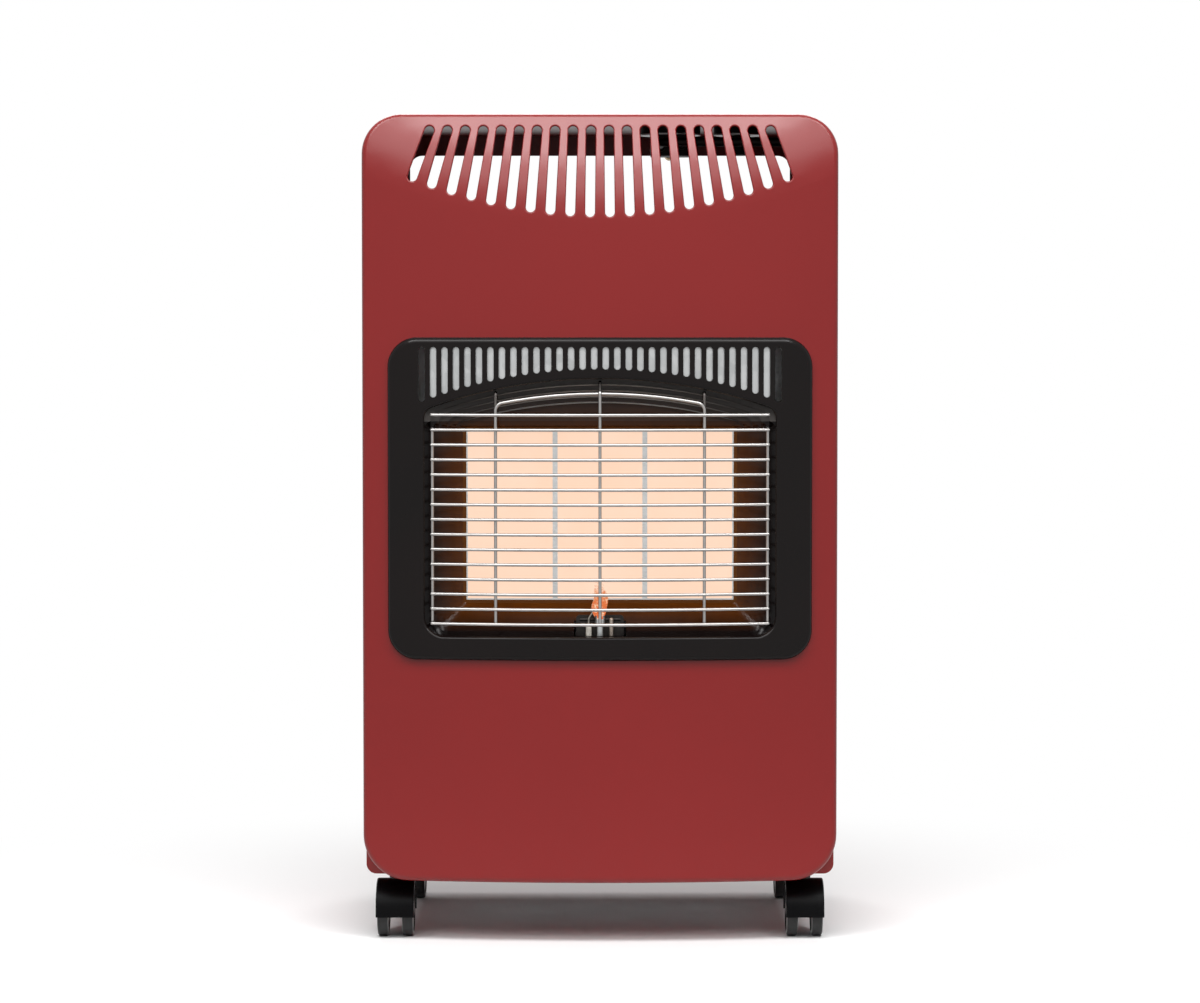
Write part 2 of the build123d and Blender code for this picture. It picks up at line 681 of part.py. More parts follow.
def burner_bezel():
    """Enamelled frame on the panel's face, with a rolled edge round its opening."""
    bezel = bezel_form(0) - bezel_form(BEZEL_SHEET) - bowed(0)
    lip = bowed(-BEZEL_PROUD) - bowed(OPENING_LIP - BEZEL_PROUD)
    bezel += lip & along_y(opening(BEZEL_SHEET), BEZEL_Y - BOW, SEAM_Y)
    bezel -= along_y(opening(0), BEZEL_Y - BOW, SEAM_Y)

    def on_opening(edge):
        middle = edge @ 0.5
        on_face = abs(middle.Y - bow_y(middle.X, -BEZEL_PROUD)) < BEZEL_SHEET / 4
        inside = abs(middle.X) < OPENING_WIDTH / 2 + FIT and OPENING_Z - FIT < middle.Z
        return on_face and inside and middle.Z < arch_z(middle.X) + FIT

    bezel = fillet(bezel.edges().filter_by(on_opening), OPENING_EDGE_R)
    return bezel - along_y(vent_slots(), BEZEL_Y - BOW, SEAM_Y)


def vent_plate():
    """Bright plate behind the vent slots, close to the bezel; the end slot on each side stays open."""
    half = (VENT_SLOTS / 2 - 1) * VENT_PITCH
    top = BEZEL_TOP_Z - VENT_TOP_GAP + VENT_PLATE_LAP
    inset = BEZEL_SHEET + FIT - BEZEL_PROUD
    plate = bowed(inset) - bowed(inset + SHEET)
    plate &= slab(-half, half, BEZEL_Y, SEAM_Y, SHOULDER_Z, top)
    return plate - along_y(opening(COWL_GROW + COWL_FLANGE + FIT), BEZEL_Y, SEAM_Y)


def cowl_space(grow, wall):
    """Space inside the cowl: throat, stepped arch and funnel to the burner."""
    space = along_y(opening(grow), BEZEL_Y - BOW, THROAT_Y + wall)
    wide = outline(
        OPENING_WIDTH / 2 + grow,
        OPENING_Z - grow,
        SHOULDER_Z - OPENING_SHOULDER_R + grow,
        OPENING_FOOT_R + grow,
        OPENING_SHOULDER_R + grow,
    )
    field = outline(
        FIELD_HALF + grow, FRAME_Z - grow, FIELD_TOP_Z + grow, FIELD_R + grow, FIELD_R + grow
    )
    space += loft([Plane.XZ.offset(-THROAT_Y) * wide, Plane.XZ.offset(-COWL_Y) * field])
    for step in range(1, COWL_STEPS + 1):
        share = step / (COWL_STEPS + 1)
        half = OPENING_WIDTH / 2 * (1 - share) + FIELD_HALF * share
        step_z = ARCH_Z - step * STEP_RISE
        step_y = THROAT_Y + share * (COWL_Y - THROAT_Y)
        face = arched(half, (FRAME_Z + FIELD_TOP_Z) / 2, step_z, FIELD_R, OPENING_SHOULDER_R, grow)
        space += along_y(face, THROAT_Y, step_y + wall)
    return space


def burner_flange(y0, y1):
    """Rectangular plate that the cowl, the frame and the box share."""
    half = FIELD_HALF + COWL_REAR_FLANGE
    face = outline(
        half, FRAME_Z - COWL_REAR_FLANGE, FIELD_TOP_Z + COWL_REAR_FLANGE, FIELD_R, FIELD_R
    )
    return along_y(face, y0, y1)


def burner_screw_places():
    """Front-view places of the screws round the burner flange."""
    margin = COWL_REAR_FLANGE - SCREW_HEAD_R
    side_x = FIELD_HALF + margin
    middle_z = (FRAME_Z + FIELD_TOP_Z) / 2
    return [(sign * side_x, z) for sign in (-1, 1) for z in (FRAME_Z, middle_z, FIELD_TOP_Z)]


def guard_leg_places():
    """Front-view places where the guard's four legs pass through the cowl."""
    return [(sign * GUARD_SIDE_X, z) for sign in (-1, 1) for z in (GUARD_LOW_Z, GUARD_SIDE_TOP_Z)]


def guard_hook(x):
    """Hook from the cowl's first step down behind the guard's arch wire."""
    hook_y = guard_y(ARCH_WIRE_X) + 2 * WIRE
    hook_z = arch_z(x) - WIRE
    points = [
        (x, THROAT_Y + COWL_WALL / 2, hook_z),
        (x, hook_y, hook_z),
        (x, hook_y, hook_z - ARCH_WIRE_TOP),
    ]
    return bent_rod(points, WIRE, WIRE / 2)


def burner_cowl():
    """Enamelled funnel from the bezel's opening back to the burner, with hooks for the guard."""
    hollow = cowl_space(COWL_GROW, 0)
    cowl = cowl_space(COWL_GROW + COWL_WALL, COWL_WALL) + burner_flange(COWL_Y - SHEET, COWL_Y)
    front = bowed(BEZEL_SHEET - BEZEL_PROUD)
    flange = along_y(opening(COWL_GROW + COWL_FLANGE), BEZEL_Y - BOW, SEAM_Y)
    cowl += flange & (front - bowed(BEZEL_SHEET + SHEET - BEZEL_PROUD))
    cowl = (cowl & front) - hollow
    cowl += [guard_hook(x) for x in (-ARCH_WIRE_X, 0, ARCH_WIRE_X)]
    half = BRACKET_HALF + 2 * SHEET
    hole_front = PILOT_Y - PILOT_R - SHEET
    hole_back = PILOT_PLATE_Y + BRACKET_SHEET + SHEET
    cowl -= slab(-half, half, hole_front, hole_back, BASE_Z, FRAME_Z - LEDGE)
    cowl -= [rod_y(x, z, WIRE / 2 + FIT, THROAT_Y, COWL_Y) for x, z in guard_leg_places()]
    return cowl - screw_holes(burner_screw_places(), COWL_Y - SHEET, COWL_Y)


def plaque_x(index):
    return (index - (PLAQUES - 1) / 2) * (PLAQUE_WINDOW_W + RIB)


def plaque_block(index, grow, y0, y1):
    """Block behind one window, drawn `grow` larger than the window."""
    x = plaque_x(index)
    half = PLAQUE_WINDOW_W / 2 + grow
    low = FRAME_Z + FRAME_LIP - grow
    return slab(x - half, x + half, y0, y1, low, low + PLAQUE_WINDOW_H + 2 * grow)


def burner_frame():
    """Face plate with a window for each plaque."""
    frame = burner_flange(COWL_Y, PLAQUE_Y)
    frame -= [plaque_block(index, 0, COWL_Y, PLAQUE_Y) for index in range(PLAQUES)]
    return frame - screw_holes(burner_screw_places(), COWL_Y, PLAQUE_Y)


def plaque(index):
    """Ceramic plaque with eased front edges."""
    block = plaque_block(index, PLAQUE_LAP, PLAQUE_Y, CHAMBER_Y)
    return fillet(block.edges().filter_by(Axis.Y), PLAQUE_LAP)


def burner_box():
    """Box that holds the plaques on a ledge, with a gas chamber behind each."""
    half = FIELD_HALF - FRAME_LIP + PLAQUE_LAP + FIT + BOX_WALL
    box = slab(-half, half, PLAQUE_Y, BOX_BACK_Y, BOX_Z, BOX_TOP_Z)
    box += burner_flange(PLAQUE_Y, PLAQUE_Y + SHEET)
    for index in range(PLAQUES):
        box -= plaque_block(index, PLAQUE_LAP + FIT, PLAQUE_Y, CHAMBER_Y)
        box -= plaque_block(index, PLAQUE_LAP - LEDGE, CHAMBER_Y, BOX_BACK_Y - BOX_WALL)
        box -= rod_z(plaque_x(index), MIXER_Y, MIXER_R, BOX_Z, BOX_Z + CHAMBER)
    return box - screw_holes(burner_screw_places(), PLAQUE_Y, PLAQUE_Y + SHEET)


def mixer(index):
    """Mixing tube under the box, with a collar and a flared mouth."""
    x = plaque_x(index)
    low = BOX_Z - MIXER_LENGTH
    flare = MIXER_LENGTH / 4
    tube = rod_z(x, MIXER_Y, MIXER_R, low, BOX_Z + LEDGE)
    tube += rod_z(x, MIXER_Y, MIXER_R + LEDGE, BOX_Z - LEDGE, BOX_Z)
    mouth = Pos(x, MIXER_Y, low + flare / 2)
    tube += mouth * Cone(MIXER_MOUTH_R, MIXER_R, flare)
    tube -= rod_z(x, MIXER_Y, MIXER_R - SHEET, low, BOX_Z + LEDGE)
    return tube - mouth * Cone(MIXER_MOUTH_R - SHEET, MIXER_R - SHEET, flare)


def gas_manifold():
    """Pipe with a boss under each mixing tube, hung from the box by two straps."""
    reach = plaque_x(PLAQUES - 1) + 2 * MANIFOLD_R
    seat_z = JET_TIP_Z - JET_LENGTH
    pipe = rod_x(MIXER_Y, MANIFOLD_Z, MANIFOLD_R, -reach, reach)
    for index in range(PLAQUES):
        pipe += rod_z(plaque_x(index), MIXER_Y, JET_R + SHEET, MANIFOLD_Z, seat_z)
    for sign in (-1, 1):
        x = sign * (PLAQUE_WINDOW_W + RIB) / 2
        pipe += slab(x - STRAP, x + STRAP, MIXER_Y - SHEET, MIXER_Y + SHEET, MANIFOLD_Z, BOX_Z)
        pipe += slab(x - STRAP, x + STRAP, MIXER_Y - STRAP, MIXER_Y + STRAP, BOX_Z - SHEET, BOX_Z)
    pipe -= rod_x(MIXER_Y, MANIFOLD_Z, PIPE_R, MANIFOLD_R - reach, reach)
    return pipe - [rod_z(plaque_x(i), MIXER_Y, JET_BORE_R, MANIFOLD_Z, seat_z) for i in range(PLAQUES)]


def injectors():
    """Brass jets, one under each mixing tube."""
    seat_z = JET_TIP_Z - JET_LENGTH
    jets = []
    for index in range(PLAQUES):
        at = Pos(plaque_x(index), MIXER_Y)
        jet = along_z(at * RegularPolygon(JET_R + SHEET, 6), seat_z, seat_z + JET_LENGTH / 2)
        nose = at * Pos(0, 0, seat_z + 3 * JET_LENGTH / 4)
        jet += nose * Cone(JET_R, JET_R / 2, JET_LENGTH / 2)
        jets.append(jet - rod_z(plaque_x(index), MIXER_Y, JET_BORE_R, seat_z, JET_TIP_Z))
    return Compound(jets)


def screws(places, head_y, thread):
    """Pan-head screws with their heads behind head_y and their threads forward."""
    group = []
    for x, z in places:
        screw = rod_y(x, z, SCREW_R, head_y - thread, head_y)
        screw += rod_y(x, z, SCREW_HEAD_R, head_y, head_y + SCREW_HEAD_H)
        head = screw.faces().sort_by(Axis.Y)[-1]
        group.append(fillet(head.edges(), SCREW_HEAD_H / 2))
    return Compound(group)


def pilot_bracket():
    """Bracket under the cowl's floor, with a ribbed back plate behind the pilot."""
    half = BRACKET_HALF
    low = THROAT_UNDER_Z - BRACKET_SHEET
    back_y = PILOT_PLATE_Y + BRACKET_SHEET
    bracket = slab(-half, half, THROAT_Y - half / 2, back_y, low, THROAT_UNDER_Z)
    bracket += along_y(
        outline(half, low, PILOT_TIP_Z, BRACKET_SHEET, PILOT_R), PILOT_PLATE_Y, back_y
    )
    for rib in (1, 2):
        rib_z = PILOT_TIP_Z - rib * PILOT_RIB_PITCH
        bracket += rod_x(PILOT_PLATE_Y, rib_z, BRACKET_SHEET, -half + PILOT_R, half - PILOT_R)
    for x, radius in ((-PILOT_SPACING, ELECTRODE_R), (0, PILOT_R), (PILOT_SPACING, PROBE_R)):
        bracket -= rod_z(x, PILOT_Y, radius, low, THROAT_UNDER_Z)
    return bracket


def pilot_burner():
    """Pilot tube with a nut below the bracket and a forked hood on top."""
    low = THROAT_UNDER_Z - BRACKET_SHEET
    pilot = rod_z(0, PILOT_Y, PILOT_R, PILOT_FOOT_Z, PILOT_TIP_Z)
    pilot += along_z(Pos(0, PILOT_Y) * RegularPolygon(PILOT_R + BRACKET_SHEET, 6), PILOT_FOOT_Z, low)
    hood_r = PILOT_R + BRACKET_SHEET
    hood_z = PILOT_TIP_Z - 3 * PILOT_R
    hood = rod_z(0, PILOT_Y, hood_r, hood_z, PILOT_TIP_Z)
    hood -= rod_z(0, PILOT_Y, PILOT_R, hood_z + BRACKET_SHEET, PILOT_TIP_Z)
    pilot = pilot - rod_z(0, PILOT_Y, PILOT_R, hood_z + BRACKET_SHEET, PILOT_TIP_Z) + hood
    gap = PILOT_R - FIT
    return pilot - slab(-gap, gap, PILOT_Y - 2 * hood_r, PILOT_Y, hood_z + 2 * PILOT_R, PILOT_TIP_Z)


def thermocouple():
    """Probe with a seat flange on the bracket and a rounded tip."""
    probe = rod_z(PILOT_SPACING, PILOT_Y, PROBE_R, PILOT_FOOT_Z, PILOT_TIP_Z - PROBE_R)
    probe = fillet(probe.faces().sort_by(Axis.Z)[-1].edges(), PROBE_R * 0.9)
    seat = THROAT_UNDER_Z
    return probe + rod_z(PILOT_SPACING, PILOT_Y, 2 * PROBE_R, seat, seat + PROBE_R)


def spark_electrode():
    """Ceramic insulator with a wire that leans over the pilot's hood."""
    x = -PILOT_SPACING
    shoulder_z = PILOT_TIP_Z - 3 * PILOT_R
    insulator = rod_z(x, PILOT_Y, ELECTRODE_R, PILOT_FOOT_Z, shoulder_z)
    insulator = fillet(insulator.faces().sort_by(Axis.Z)[-1].edges(), ELECTRODE_R / 3)
    tip = (x + PILOT_SPACING / 3, PILOT_Y, PILOT_TIP_Z + ELECTRODE_R)
    points = [(x, PILOT_Y, shoulder_z - ELECTRODE_R), (x, PILOT_Y, PILOT_TIP_Z - ELECTRODE_R), tip]
    return insulator + bent_rod(points, ELECTRODE_R, ELECTRODE_R / 3)


def guard_y(x):
    """Y of the bars' centre line at x."""
    return GUARD_Y + WIRE / 2 + GUARD_BOW_R - math.sqrt(GUARD_BOW_R**2 - x**2)


def wire_guard():
    """Welded guard: level bars in front, side wires, an arch and a centre wire behind."""
    radius = WIRE / 2
    behind = WIRE - WELD
    end_y = guard_y(GUARD_HALF)
    bar_line = ThreePointArc((-GUARD_HALF, end_y), (0, guard_y(0)), (GUARD_HALF, end_y))
    bar = sweep(Plane(bar_line @ 0, z_dir=bar_line % 0) * Circle(radius), bar_line)
    bar += [Pos(*(bar_line @ end)) * Sphere(radius) for end in (0, 1)]
    wires = [Pos(0, 0, GUARD_TOP_Z - index * GUARD_PITCH) * bar for index in range(GUARD_BARS)]

    side_y = guard_y(GUARD_SIDE_X) + behind
    for x in (-GUARD_SIDE_X, GUARD_SIDE_X):
        side = [
            (x, side_y + GUARD_LEG, GUARD_SIDE_TOP_Z),
            (x, side_y, GUARD_SIDE_TOP_Z),
            (x, side_y, GUARD_LOW_Z),
            (x, side_y + GUARD_LEG, GUARD_LOW_Z),
        ]
        wires.append(bent_rod(side, 2 * radius, radius))

    arch_y = guard_y(ARCH_WIRE_X) + behind
    shoulder_z = ARCH_WIRE_Z - ARCH_WIRE_DROP
    left = (-ARCH_WIRE_X, arch_y, shoulder_z)
    right = (ARCH_WIRE_X, arch_y, shoulder_z)
    arch_line = Wire(
        [
            Line((-ARCH_WIRE_X, arch_y, GUARD_LOW_Z), left),
            ThreePointArc(left, (0, arch_y, ARCH_WIRE_Z), right),
            Line(right, (ARCH_WIRE_X, arch_y, GUARD_LOW_Z)),
        ]
    )
    shoulders = arch_line.vertices().sort_by(Axis.Z)[-2:]
    arch_line = arch_line.fillet_2d(ARCH_WIRE_BEND, shoulders)
    arch = sweep(Plane(arch_line @ 0, z_dir=arch_line % 0) * Circle(radius), arch_line)

    centre_y = guard_y(0) + behind
    top_z = ARCH_WIRE_Z + behind
    centre = [(0, centre_y, GUARD_LOW_Z), (0, centre_y, top_z), (0, arch_y + radius, top_z)]
    wires.append(bent_rod(centre, 2 * radius, radius))
    return arch + wires


def control_well(x, radius, hole_r):
    """Cup let into the top, with a rim that rests on it."""
    rim_z = TOP_Z + WELL_WALL
    well = rod_z(x, WELL_Y, radius, WELL_FLOOR_Z, TOP_Z)
    well += rod_z(x, WELL_Y, radius + WELL_RIM, TOP_Z, rim_z)
    well = fillet(well.faces().sort_by(Axis.Z)[-1].edges(), WELL_WALL / 2)
    well -= rod_z(x, WELL_Y, radius - WELL_WALL, WELL_INNER_Z, rim_z)
    return well - rod_z(x, WELL_Y, hole_r, WELL_FLOOR_Z, WELL_INNER_Z)


def igniter_well():
    """Cup with a guide collar round the button."""
    guide_r = BUTTON_R + BUTTON_CLEAR
    well = control_well(IGNITER_X, IGNITER_WELL_R, BUTTON_STEM_R + SHEET)
    guide = rod_z(IGNITER_X, WELL_Y, guide_r + WELL_WALL, WELL_INNER_Z, TOP_Z)
    return well + (guide - rod_z(IGNITER_X, WELL_Y, guide_r, WELL_INNER_Z, TOP_Z))


def well_discs():
    """Plated clamp discs under the two wells."""
    knob = rod_z(KNOB_X, WELL_Y, KNOB_WELL_R, DISC_Z, WELL_FLOOR_Z)
    knob -= rod_z(KNOB_X, WELL_Y, SPINDLE_R + SHEET, DISC_Z, WELL_FLOOR_Z)
    igniter = rod_z(IGNITER_X, WELL_Y, IGNITER_WELL_R, DISC_Z, WELL_FLOOR_Z)
    igniter -= rod_z(IGNITER_X, WELL_Y, BUTTON_STEM_R + SHEET, DISC_Z, WELL_FLOOR_Z)
    return Compound([knob, igniter])


def gas_valve():
    """Valve body with two outlets in front, an inlet behind and the spindle's bore."""
    front = WELL_Y - VALVE_D / 2
    rear = WELL_Y + VALVE_D / 2
    low = DISC_Z - VALVE_H
    body = slab(KNOB_X - VALVE_W / 2, KNOB_X + VALVE_W / 2, front, rear, low, DISC_Z)
    body = fillet(body.edges().filter_by(Axis.Z), VALVE_EDGE_R)
    boss_y = front - OUTLET_BOSS
    body += rod_y(SUPPLY_X, VALVE_Z, PIPE_R + OUTLET_WALL, boss_y, front)
    body += rod_y(PILOT_X, VALVE_Z, PILOT_PIPE_R + OUTLET_WALL, boss_y, front)
    body -= rod_y(SUPPLY_X, VALVE_Z, PIPE_R, boss_y, front)
    body -= rod_y(PILOT_X, VALVE_Z, PILOT_PIPE_R, boss_y, front)
    return body - rod_z(KNOB_X, WELL_Y, SPINDLE_R + RUNNING, low + BOX_WALL, DISC_Z)


def d_section(radius, z0, z1):
    """Round bar with a drive flat, on the spindle's axis."""
    bar = rod_z(KNOB_X, WELL_Y, radius, z0, z1)
    flat_x = KNOB_X + radius - DRIVE_FLAT
    return bar - slab(flat_x, KNOB_X + 2 * radius, WELL_Y - radius, WELL_Y + radius, z0, z1)


def valve_spindle():
    low = DISC_Z - VALVE_H + BOX_WALL + FIT
    spindle = rod_z(KNOB_X, WELL_Y, SPINDLE_R, low, WELL_INNER_Z)
    return spindle + d_section(SPINDLE_R, WELL_INNER_Z, SPINDLE_TOP_Z)


def control_knob():
    """Round skirt with a grip bar, sliding on the spindle's flat."""
    knob = rod_z(KNOB_X, WELL_Y, KNOB_R, KNOB_Z, KNOB_Z + KNOB_SKIRT)
    grip = Pos(KNOB_X, WELL_Y) * SlotOverall(2 * KNOB_R - 2 * SHEET, KNOB_GRIP)
    knob += along_z(grip, KNOB_Z, KNOB_TOP_Z)
    top = knob.faces().sort_by(Axis.Z)[-1]
    knob = fillet(top.edges(), KNOB_CAP / 2)
    return knob - d_section(SPINDLE_R + RUNNING, KNOB_Z, KNOB_TOP_Z - KNOB_CAP)


def igniter_button():
    """Push button with a stem that strikes the igniter."""
    cap = rod_z(IGNITER_X, WELL_Y, BUTTON_R, BUTTON_Z, BUTTON_TOP_Z)
    cap = fillet(cap.faces().sort_by(Axis.Z)[-1].edges(), KNOB_CAP)
    return cap + rod_z(IGNITER_X, WELL_Y, BUTTON_STEM_R, BUTTON_STEM_Z, BUTTON_Z)


def igniter_body():
    """Piezo barrel under its disc, with a terminal blade."""
    low = DISC_Z - IGNITER_H
    body = rod_z(IGNITER_X, WELL_Y, IGNITER_R, low, DISC_Z)
    body = fillet(body.faces().sort_by(Axis.Z)[0].edges(), KNOB_CAP)
    bore_z = BUTTON_STEM_Z - BUTTON_TRAVEL - FIT
    body -= rod_z(IGNITER_X, WELL_Y, BUTTON_STEM_R + RUNNING, bore_z, DISC_Z)
    rear = WELL_Y + IGNITER_R
    x0 = IGNITER_X - BLADE_WIDTH / 2
    x1 = IGNITER_X + BLADE_WIDTH / 2
    return body + slab(x0, x1, rear - SHEET, rear + BLADE_LENGTH, VALVE_Z, VALVE_Z + SHEET)


def hose_nozzle():
    """Barbed inlet behind the valve, tilted down so that a hose passes under the rear rail."""
    rear = WELL_Y + VALVE_D / 2
    reach = NOZZLE_LENGTH
    nozzle = along_y(RegularPolygon(NOZZLE_R + OUTLET_WALL, 6), -NOZZLE_R, NOZZLE_R)
    nozzle += rod_y(0, 0, NOZZLE_R, 0, reach)
    cone = Rot(-90, 0, 0) * Cone(NOZZLE_R + BARB, NOZZLE_R, NOZZLE_R)
    for barb in range(1, NOZZLE_BARBS + 1):
        nozzle += Pos(0, reach * barb / (NOZZLE_BARBS + 1), 0) * cone
    nozzle -= rod_y(0, 0, NOZZLE_R / 2, -NOZZLE_R, reach)
    nozzle = Pos(KNOB_X, rear, VALVE_Z) * Rot(-NOZZLE_TILT, 0, 0) * nozzle
    behind_valve = slab(
        KNOB_X - reach, KNOB_X + reach, rear, rear + 2 * reach, VALVE_Z - reach, VALVE_Z + reach
    )
    return nozzle & behind_valve


def supply_pipe():
    """Main gas pipe from the valve, along the right side, to the manifold."""
    front = WELL_Y - VALVE_D / 2
    reach = plaque_x(PLAQUES - 1) + 2 * MANIFOLD_R
    points = [
        (SUPPLY_X, front, VALVE_Z),
        (SUPPLY_X, MIXER_Y, VALVE_Z),
        (PIPE_X, MIXER_Y, VALVE_Z),
        (PIPE_X, MIXER_Y, MANIFOLD_Z),
        (reach - MANIFOLD_R, MIXER_Y, MANIFOLD_Z),
    ]
    return bent_rod(points, PIPE_BEND, PIPE_R)


def pilot_pipe():
    """Thin pipe from the valve to the pilot burner."""
    front = WELL_Y - VALVE_D / 2
    run_y = front - OUTLET_BOSS - PIPE_BEND
    side_x = PIPE_X + PIPE_BEND
    low_z = PILOT_FOOT_Z - PIPE_BEND
    points = [
        (PILOT_X, front, VALVE_Z),
        (PILOT_X, run_y, VALVE_Z),
        (side_x, run_y, VALVE_Z),
        (side_x, MIXER_Y, VALVE_Z),
        (side_x, MIXER_Y, low_z),
        (side_x, PLAQUE_Y, low_z),
        (0, PILOT_Y, low_z),
        (0, PILOT_Y, PILOT_FOOT_Z),
    ]
    return bent_rod(points, PIPE_BEND / 2, PILOT_PIPE_R)


def caster_stems():
    """Studs through the base, each with a collar and a swivel pin."""
    stems = []
    for x, y in caster_places().values():
        stem = rod_z(x, y, STEM_R, STEM_FOOT_Z, NUT_Z + STUD_NUT_H + SHEET)
        stems.append(stem + rod_z(x, y, COLLAR_R, COLLAR_Z, BASE_Z))
    return Compound(stems)


def caster_nuts():
    nuts = []
    for x, y in caster_places().values():
        section = Pos(x, y) * (RegularPolygon(STUD_NUT_R, 6) - Circle(STEM_R))
        nuts.append(along_z(section, NUT_Z, NUT_Z + STUD_NUT_H))
    return Compound(nuts)


def caster_hood(x, y):
    """Hood over both wheels, with the web that carries the axle and the stem's socket."""
    axle_y = y - TRAIL
    half = HOOD_WIDTH / 2
    outer_r = WHEEL_R + HOOD_CLEAR + HOOD_WALL
    drum = rod_x(axle_y, WHEEL_R, outer_r, x - half, x + half)
    drum = fillet(drum.edges().filter_by(GeomType.CIRCLE), HOOD_WALL - SHEET)
    drum &= slab(x - half, x + half, axle_y - outer_r, axle_y + outer_r, HOOD_FOOT_Z, BASE_Z)
    for sign in (-1, 1):
        pocket = sorted((x + sign * WEB_HALF, x + sign * HOOD_WIDTH))
        drum -= rod_x(axle_y, WHEEL_R, WHEEL_R + HOOD_CLEAR, *pocket)
    drum += rod_x(axle_y, WHEEL_R, 2 * AXLE_R, x - WEB_HALF, x + WEB_HALF)
    drum += rod_z(x, y, WEB_HALF, HOOD_FOOT_Z, COLLAR_Z - FIT)
    drum -= rod_z(x, y, STEM_R + RUNNING, STEM_FOOT_Z - FIT, COLLAR_Z)
    return drum - rod_x(axle_y, WHEEL_R, AXLE_R, x - WEB_HALF, x + WEB_HALF)


def caster_axle(x, y):
    half = WHEEL_GAP / 2 + WHEEL_WIDTH - HUB_CAP - FIT
    return rod_x(y - TRAIL, WHEEL_R, AXLE_R, x - half, x + half)


def caster_wheel(x, y, sign):
    """Wheel with a rounded tread, dished sides and a blind hub."""
    axle_y = y - TRAIL
    near = x + sign * WHEEL_GAP / 2
    far = near + sign * WHEEL_WIDTH
    wheel = rod_x(axle_y, WHEEL_R, WHEEL_R, min(near, far), max(near, far))
    wheel = fillet(wheel.edges().filter_by(GeomType.CIRCLE), TREAD_R)
    for face, inward in ((near, sign), (far, -sign)):
        dish = sorted((face, face + inward * WHEEL_DISH))
        ring = rod_x(axle_y, WHEEL_R, WHEEL_R - 2 * TREAD_R, *dish)
        wheel -= ring - rod_x(axle_y, WHEEL_R, 2 * AXLE_R, *dish)
    bore = sorted((near, far - sign * HUB_CAP))
    return wheel - rod_x(axle_y, WHEEL_R, AXLE_R + RUNNING, *bore)


def nodes():
    """Every piece of the heater, by name."""
    burner_thread = PLAQUE_Y - COWL_Y + 2 * SHEET
    pieces = {
        "front_panel": front_panel(),
        "cabinet_shell": cabinet_shell(),
        "base_tray": base_tray(),
        "heat_shield": heat_shield(),
        "rear_cover": rear_cover(),
        "cover_studs": cover_studs(),
        "panel_screws": screws(panel_screw_places(), SEAM_Y + SHEET, SHEET + SCREW_TAIL),
        "burner_bezel": burner_bezel(),
        "vent_plate": vent_plate(),
        "burner_cowl": burner_cowl(),
        "burner_frame": burner_frame(),
        "burner_box": burner_box(),
        "burner_screws": screws(burner_screw_places(), PLAQUE_Y + SHEET, burner_thread),
        "gas_manifold": gas_manifold(),
        "injectors": injectors(),
        "pilot_bracket": pilot_bracket(),
        "pilot_burner": pilot_burner(),
        "thermocouple": thermocouple(),
        "spark_electrode": spark_electrode(),
        "wire_guard": wire_guard(),
        "knob_well": control_well(KNOB_X, KNOB_WELL_R, SPINDLE_R + SHEET),
        "igniter_well": igniter_well(),
        "well_discs": well_discs(),
        "gas_valve": gas_valve(),
        "valve_spindle": valve_spindle(),
        "control_knob": control_knob(),
        "igniter_body": igniter_body(),
        "igniter_button": igniter_button(),
        "hose_nozzle": hose_nozzle(),
        "supply_pipe": supply_pipe(),
        "pilot_pipe": pilot_pipe(),
        "caster_stems": caster_stems(),
        "caster_nuts": caster_nuts(),
    }
    for index, place in enumerate(("left", "centre", "right")):
        pieces["plaque_" + place] = plaque(index)
        pieces["mixer_" + place] = mixer(index)
    for place, (x, y) in caster_places().items():
        outward = math.copysign(1, x)
        pieces["caster_hood_" + place] = caster_hood(x, y)
        pieces["caster_axle_" + place] = caster_axle(x, y)
        pieces["caster_wheel_outer_" + place] = caster_wheel(x, y, outward)
        pieces["caster_wheel_inner_" + place] = caster_wheel(x, y, -outward)
    return pieces


if __name__ == "__main__":
    os.makedirs("parts", exist_ok=True)
    for name, shape in nodes().items():
        export_step(shape, "parts/" + name + ".step")
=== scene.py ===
# %% [markdown]
# # An infrared gas cabinet heater
# The heater is a bowed red cabinet on casters. Three ceramic plaques glow behind a wire guard, in a black
# enamelled window. The sheet metal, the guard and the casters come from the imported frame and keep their
# shapes. This lesson gives them their finishes, and adds what is too soft or too small for sheet metal:
# the rolled edges in the cowl, the pilot flame and the printed marks round the knob.

# %% Load the frame
import json
import math

import bpy
import numpy as np
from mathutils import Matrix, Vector


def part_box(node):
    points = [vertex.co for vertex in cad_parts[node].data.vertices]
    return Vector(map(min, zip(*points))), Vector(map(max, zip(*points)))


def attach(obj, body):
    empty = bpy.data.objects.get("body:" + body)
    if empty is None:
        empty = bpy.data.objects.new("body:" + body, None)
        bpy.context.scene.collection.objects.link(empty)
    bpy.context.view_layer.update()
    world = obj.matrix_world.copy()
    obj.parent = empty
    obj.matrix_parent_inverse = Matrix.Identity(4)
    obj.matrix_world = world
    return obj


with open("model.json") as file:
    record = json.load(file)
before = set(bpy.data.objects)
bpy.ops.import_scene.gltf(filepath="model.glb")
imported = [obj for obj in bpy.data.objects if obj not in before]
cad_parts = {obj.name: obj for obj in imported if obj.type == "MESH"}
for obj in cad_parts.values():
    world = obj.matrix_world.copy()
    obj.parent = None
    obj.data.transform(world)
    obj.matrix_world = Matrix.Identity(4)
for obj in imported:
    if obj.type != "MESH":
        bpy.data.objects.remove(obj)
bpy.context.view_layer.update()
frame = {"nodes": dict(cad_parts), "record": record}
nodes = frame["nodes"]
scene = bpy.context.scene
MM = 0.001

